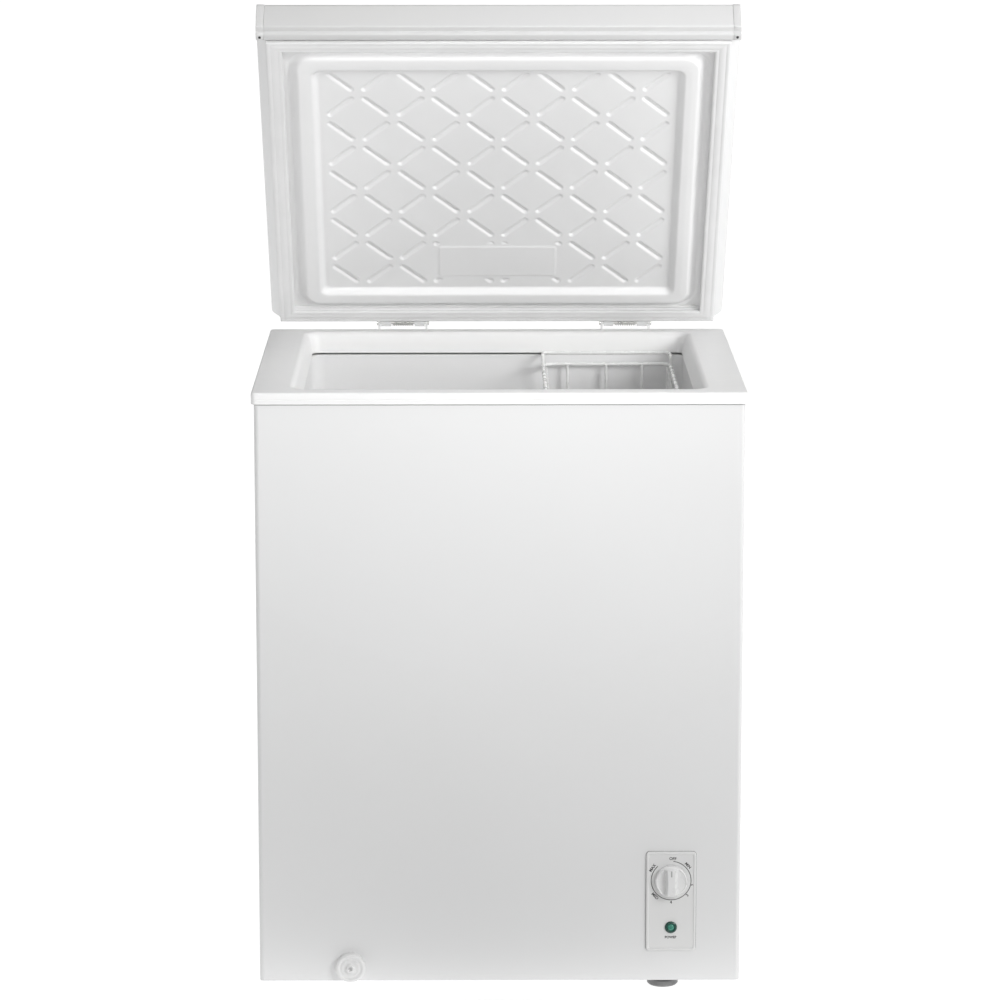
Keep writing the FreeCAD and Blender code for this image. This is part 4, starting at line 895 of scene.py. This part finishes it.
def make_drain():
    """Drain cap with a stepped rim, a shallow dish and a pierced hub, on its flange."""
    centre = Vector(((CAP_LOW.x + CAP_HIGH.x) / 2, SHELL_LOW.y, (CAP_LOW.z + CAP_HIGH.z) / 2))
    radius = (CAP_HIGH.x - CAP_LOW.x) / 2 / MM
    spigot = [(7.9, -15.8), (7.9, 2.9)]
    outer = [(radius - 0.6, 2.9), (radius - 0.1, 3.4), (radius, 4.2), (radius, 7.0),
             (radius - 0.3, 8.2), (radius - 1.2, 9.4), (radius - 2.6, 10.1), (radius - 3.6, 10.2),
             (radius - 4.4, 9.9), (radius - 5.0, 9.3), (radius - 6.0, 9.1), (radius - 7.4, 9.3),
             (radius - 8.0, 9.7), (radius - 8.8, 9.8), (radius - 9.6, 9.3), (radius - 11.2, 9.0)]
    hub = [(6.3, 9.1), (5.6, 9.6), (5.1, 11.4), (4.7, 12.3), (4.0, 12.8), (3.1, 12.8),
           (2.6, 12.3), (2.3, 11.2), (2.0, 9.0), (0.8, 8.8)]
    profile = [(r * MM, out * MM) for r, out in spigot + outer + hub]
    cap = lathe("outlet_cap_disc", profile, centre, CAP_PLASTIC, "outlet_cap")
    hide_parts("drain_cap")


# ------------------------------------------------------------ basket

def wire_curve(name, points, diameter, cyclic=False, bend=8 * MM):
    """A bent wire: straight runs with round bends, as a smooth tube."""
    count = len(points)
    path = []
    corners = range(count) if cyclic else range(1, count - 1)
    for index in range(count):
        corner = Vector(points[index])
        if index not in corners:
            path.append(corner)
            continue
        back = (Vector(points[index - 1]) - corner).normalized()
        ahead = (Vector(points[(index + 1) % count]) - corner).normalized()
        half = back.angle(ahead) / 2
        reach = bend / math.tan(half)
        inward = (back + ahead).normalized()
        centre = corner + inward * (bend / math.sin(half))
        first = corner + back * reach - centre
        last = corner + ahead * reach - centre
        swing = first.angle(last)
        steps = 7
        for step in range(steps + 1):
            share = step / steps
            mixed = (first * math.sin((1 - share) * swing) + last * math.sin(share * swing))
            path.append(centre + mixed / math.sin(swing))
    curve = bpy.data.curves.new(name, "CURVE")
    curve.dimensions = "3D"
    curve.bevel_depth = diameter / 2
    curve.bevel_resolution = 5
    curve.use_fill_caps = True
    spline = curve.splines.new("POLY")
    spline.points.add(len(path) - 1)
    for point, place in zip(spline.points, path):
        point.co = (*place, 1)
    spline.use_cyclic_u = cyclic
    wire = bpy.data.objects.new(name, curve)
    bpy.context.scene.collection.objects.link(wire)
    bpy.context.view_layer.update()
    mesh = bpy.data.meshes.new_from_object(wire)
    bpy.data.objects.remove(wire)
    return mesh


def make_basket():
    """Welded wire basket that hangs on a bar at each end."""
    thick = 5 * MM
    thin = 3.8 * MM
    bar_wire = 4.6 * MM
    bite = 0.4 * MM
    dip = 1.8 * MM
    deep = 213.5 * MM
    ring_rise = 40 * MM
    end_gap = 14 * MM
    post_back = 24 * MM
    bar_inset = 39 * MM
    floor_wires = (96 * MM, 149 * MM, 198 * MM)
    low = BASKET_LOW.z + thin / 2
    top = low + deep
    left, right = BASKET_LOW.x, BASKET_HIGH.x
    long = 444 * MM
    near, far = RIM_MIDDLE.y - long / 2, RIM_MIDDLE.y + long / 2
    meshes = []

    def ring(inset, height, diameter):
        corners = [(left + inset, near + inset, height), (right - inset, near + inset, height),
                   (right - inset, far - inset, height), (left + inset, far - inset, height)]
        meshes.append(wire_curve("ring", corners, diameter, cyclic=True, bend=16 * MM))

    ring(thick / 2, top, thick)
    ring(thick - thin / 2, low + ring_rise, thin)
    inset = thick + thin / 2 - bite
    crosswise = 10
    first = near + inset + end_gap
    span = far - near - 2 * inset - 2 * end_gap
    for index in range(crosswise):
        along = first + index * span / (crosswise - 1)
        meshes.append(wire_curve("cross", [
            (left + inset, along, top - dip), (left + inset, along, low),
            (right - inset, along, low), (right - inset, along, top - dip)], thin))
    floor = low + thin - bite
    for across in floor_wires:
        meshes.append(wire_curve("along", [
            (across, near + inset, top), (across, near + inset, floor),
            (across, far - inset, floor), (across, far - inset, top)], thin))
    seat = BASKET_HIGH.z - bar_wire / 2
    half = (RIM_HIGH.y - RIM_LOW.y) / 2
    post_left, post_right = left + thick / 2, right - thick / 2
    for sign in (-1, 1):
        foot = RIM_MIDDLE.y + sign * (long / 2 - post_back)
        bar = RIM_MIDDLE.y + sign * (half - bar_inset)
        meshes.append(wire_curve("hanger", [
            (post_left, foot, top), (post_left, foot, seat), (post_left, bar, seat),
            (post_right, bar, seat), (post_right, foot, seat), (post_right, foot, top)],
            bar_wire, bend=6 * MM))
    working = bmesh.new()
    for mesh in meshes:
        working.from_mesh(mesh)
    joined = bpy.data.meshes.new("wire_basket")
    working.to_mesh(joined)
    working.free()
    joined.materials.clear()
    joined.materials.append(WIRE)
    for polygon in joined.polygons:
        polygon.use_smooth = True
        polygon.material_index = 0
    basket = bpy.data.objects.new("wire_basket", joined)
    bpy.context.scene.collection.objects.link(basket)
    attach(basket, "basket")
    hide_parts("basket")


# ------------------------------------------------------------ stage, light, camera

def map_smoothly(tree, source, start, end, low=0.0, high=1.0):
    """Eases a value from low to high while the source runs from start to end."""
    ease = tree.nodes.new("ShaderNodeMapRange")
    ease.interpolation_type = "SMOOTHSTEP"
    ease.inputs["From Min"].default_value = start
    ease.inputs["From Max"].default_value = end
    ease.inputs["To Min"].default_value = low
    ease.inputs["To Max"].default_value = high
    tree.links.new(source, ease.inputs["Value"])
    return ease.outputs["Result"]


def combine(tree, operation, first, second):
    """One value from two, by a maths operation."""
    maths = tree.nodes.new("ShaderNodeMath")
    maths.operation = operation
    tree.links.new(first, maths.inputs[0])
    tree.links.new(second, maths.inputs[1])
    return maths.outputs["Value"]


def make_stage():
    """A pale floor that glows, except for a band and an oval patch in front of the freezer, where
    the glow drops to paint a soft contact shadow and to keep floor light off the cabinet's lower
    front.
    """
    near, far, side = -9.0, 60.0, 40.0
    vertices = [(-side, near, 0), (side, near, 0), (side, far, 0), (-side, far, 0)]
    mesh = bpy.data.meshes.new("studio_floor")
    mesh.from_pydata(vertices, [], [(0, 1, 2, 3)])
    floor = bpy.data.objects.new("studio_floor", mesh)
    bpy.context.scene.collection.objects.link(floor)
    material = new_material("studio_paper", (0.45, 0.45, 0.45), 0.9, specular=0.1)
    tree = material.node_tree
    shader = tree.nodes["Principled BSDF"]
    coordinates = tree.nodes.new("ShaderNodeTexCoord")
    parts = tree.nodes.new("ShaderNodeSeparateXYZ")
    tree.links.new(coordinates.outputs["Object"], parts.inputs["Vector"])
    # The glow drops in a band and an oval patch in front of the freezer: a painted contact shadow on
    # the floor.
    behind = map_smoothly(tree, parts.outputs["Y"], -1.1, -0.7)
    distant = map_smoothly(tree, parts.outputs["Y"], -2.2, -3.0)
    outside_shadow_band = combine(tree, "MAXIMUM", behind, distant)
    mapping = tree.nodes.new("ShaderNodeMapping")
    mapping.inputs["Location"].default_value = (0, 1.6, 0)
    mapping.inputs["Scale"].default_value = (1.6, 2, 1)
    tree.links.new(coordinates.outputs["Object"], mapping.inputs["Vector"])
    reach = tree.nodes.new("ShaderNodeVectorMath")
    reach.operation = "LENGTH"
    tree.links.new(mapping.outputs["Vector"], reach.inputs[0])
    outside_shadow_patch = map_smoothly(tree, reach.outputs["Value"], 0.75, 1.08, 0.1, 0.88)
    glow = combine(tree, "MULTIPLY", outside_shadow_band, outside_shadow_patch)
    tree.links.new(glow, shader.inputs["Emission Strength"])
    shader.inputs["Emission Color"].default_value = (1, 1, 1, 1)
    mesh.materials.append(material)


def add_area(name, place, target, size, power, spread):
    """A square area lamp aimed at a point, its beam narrowed to an angle in degrees."""
    light = bpy.data.lights.new(name, "AREA")
    light.shape = "RECTANGLE"
    light.size = size
    light.size_y = size
    light.energy = power
    light.spread = math.radians(spread)
    lamp = bpy.data.objects.new(name, light)
    bpy.context.scene.collection.objects.link(lamp)
    lamp.location = place
    aim = Vector(target) - Vector(place)
    lamp.rotation_euler = aim.to_track_quat("-Z", "Y").to_euler()


def make_light():
    """Even white surroundings, a key lamp at the upper right, a low fill in front, one above."""
    world = bpy.data.worlds.new("studio")
    bpy.context.scene.world = world
    world.use_nodes = True
    background = world.node_tree.nodes["Background"]
    background.inputs["Color"].default_value = (1, 1, 1, 1)
    background.inputs["Strength"].default_value = 0.42
    add_area("key", (2.3, -2.6, 2.15), (0, 0, 1.15), size=1.4, power=10.8, spread=60)
    add_area("fill", (0.0, -3.6, 1.0), (0, 0, 0.95), size=0.9, power=1.6, spread=40)
    add_area("top", (0.9, -0.7, 3.4), (0, 0, 0.8), size=1.6, power=6, spread=120)
    bpy.context.scene.view_settings.view_transform = "Standard"


def make_camera():
    """Long lens from in front, above the rim, looking slightly down."""
    aside, back, above = -0.0346, 5.1718, 0.8602
    down, turn = 10.911, -0.388
    data = bpy.data.cameras.new("camera")
    data.sensor_width = 36
    data.lens = 150.5
    data.clip_end = 60
    camera = bpy.data.objects.new("camera", data)
    bpy.context.scene.collection.objects.link(camera)
    camera.location = (aside, RIM_LOW.y - back, RIM_TOP + above)
    camera.rotation_euler = (math.radians(90 - down), 0, math.radians(turn))
    bpy.context.scene.camera = camera


make_camera()
make_light()
make_stage()
make_rim()
make_lid_skin()
make_lid_rail()
make_lid_liner()
make_gasket()
make_panel()
make_knob()
make_prints()
make_lamp()
make_drain()
make_basket()
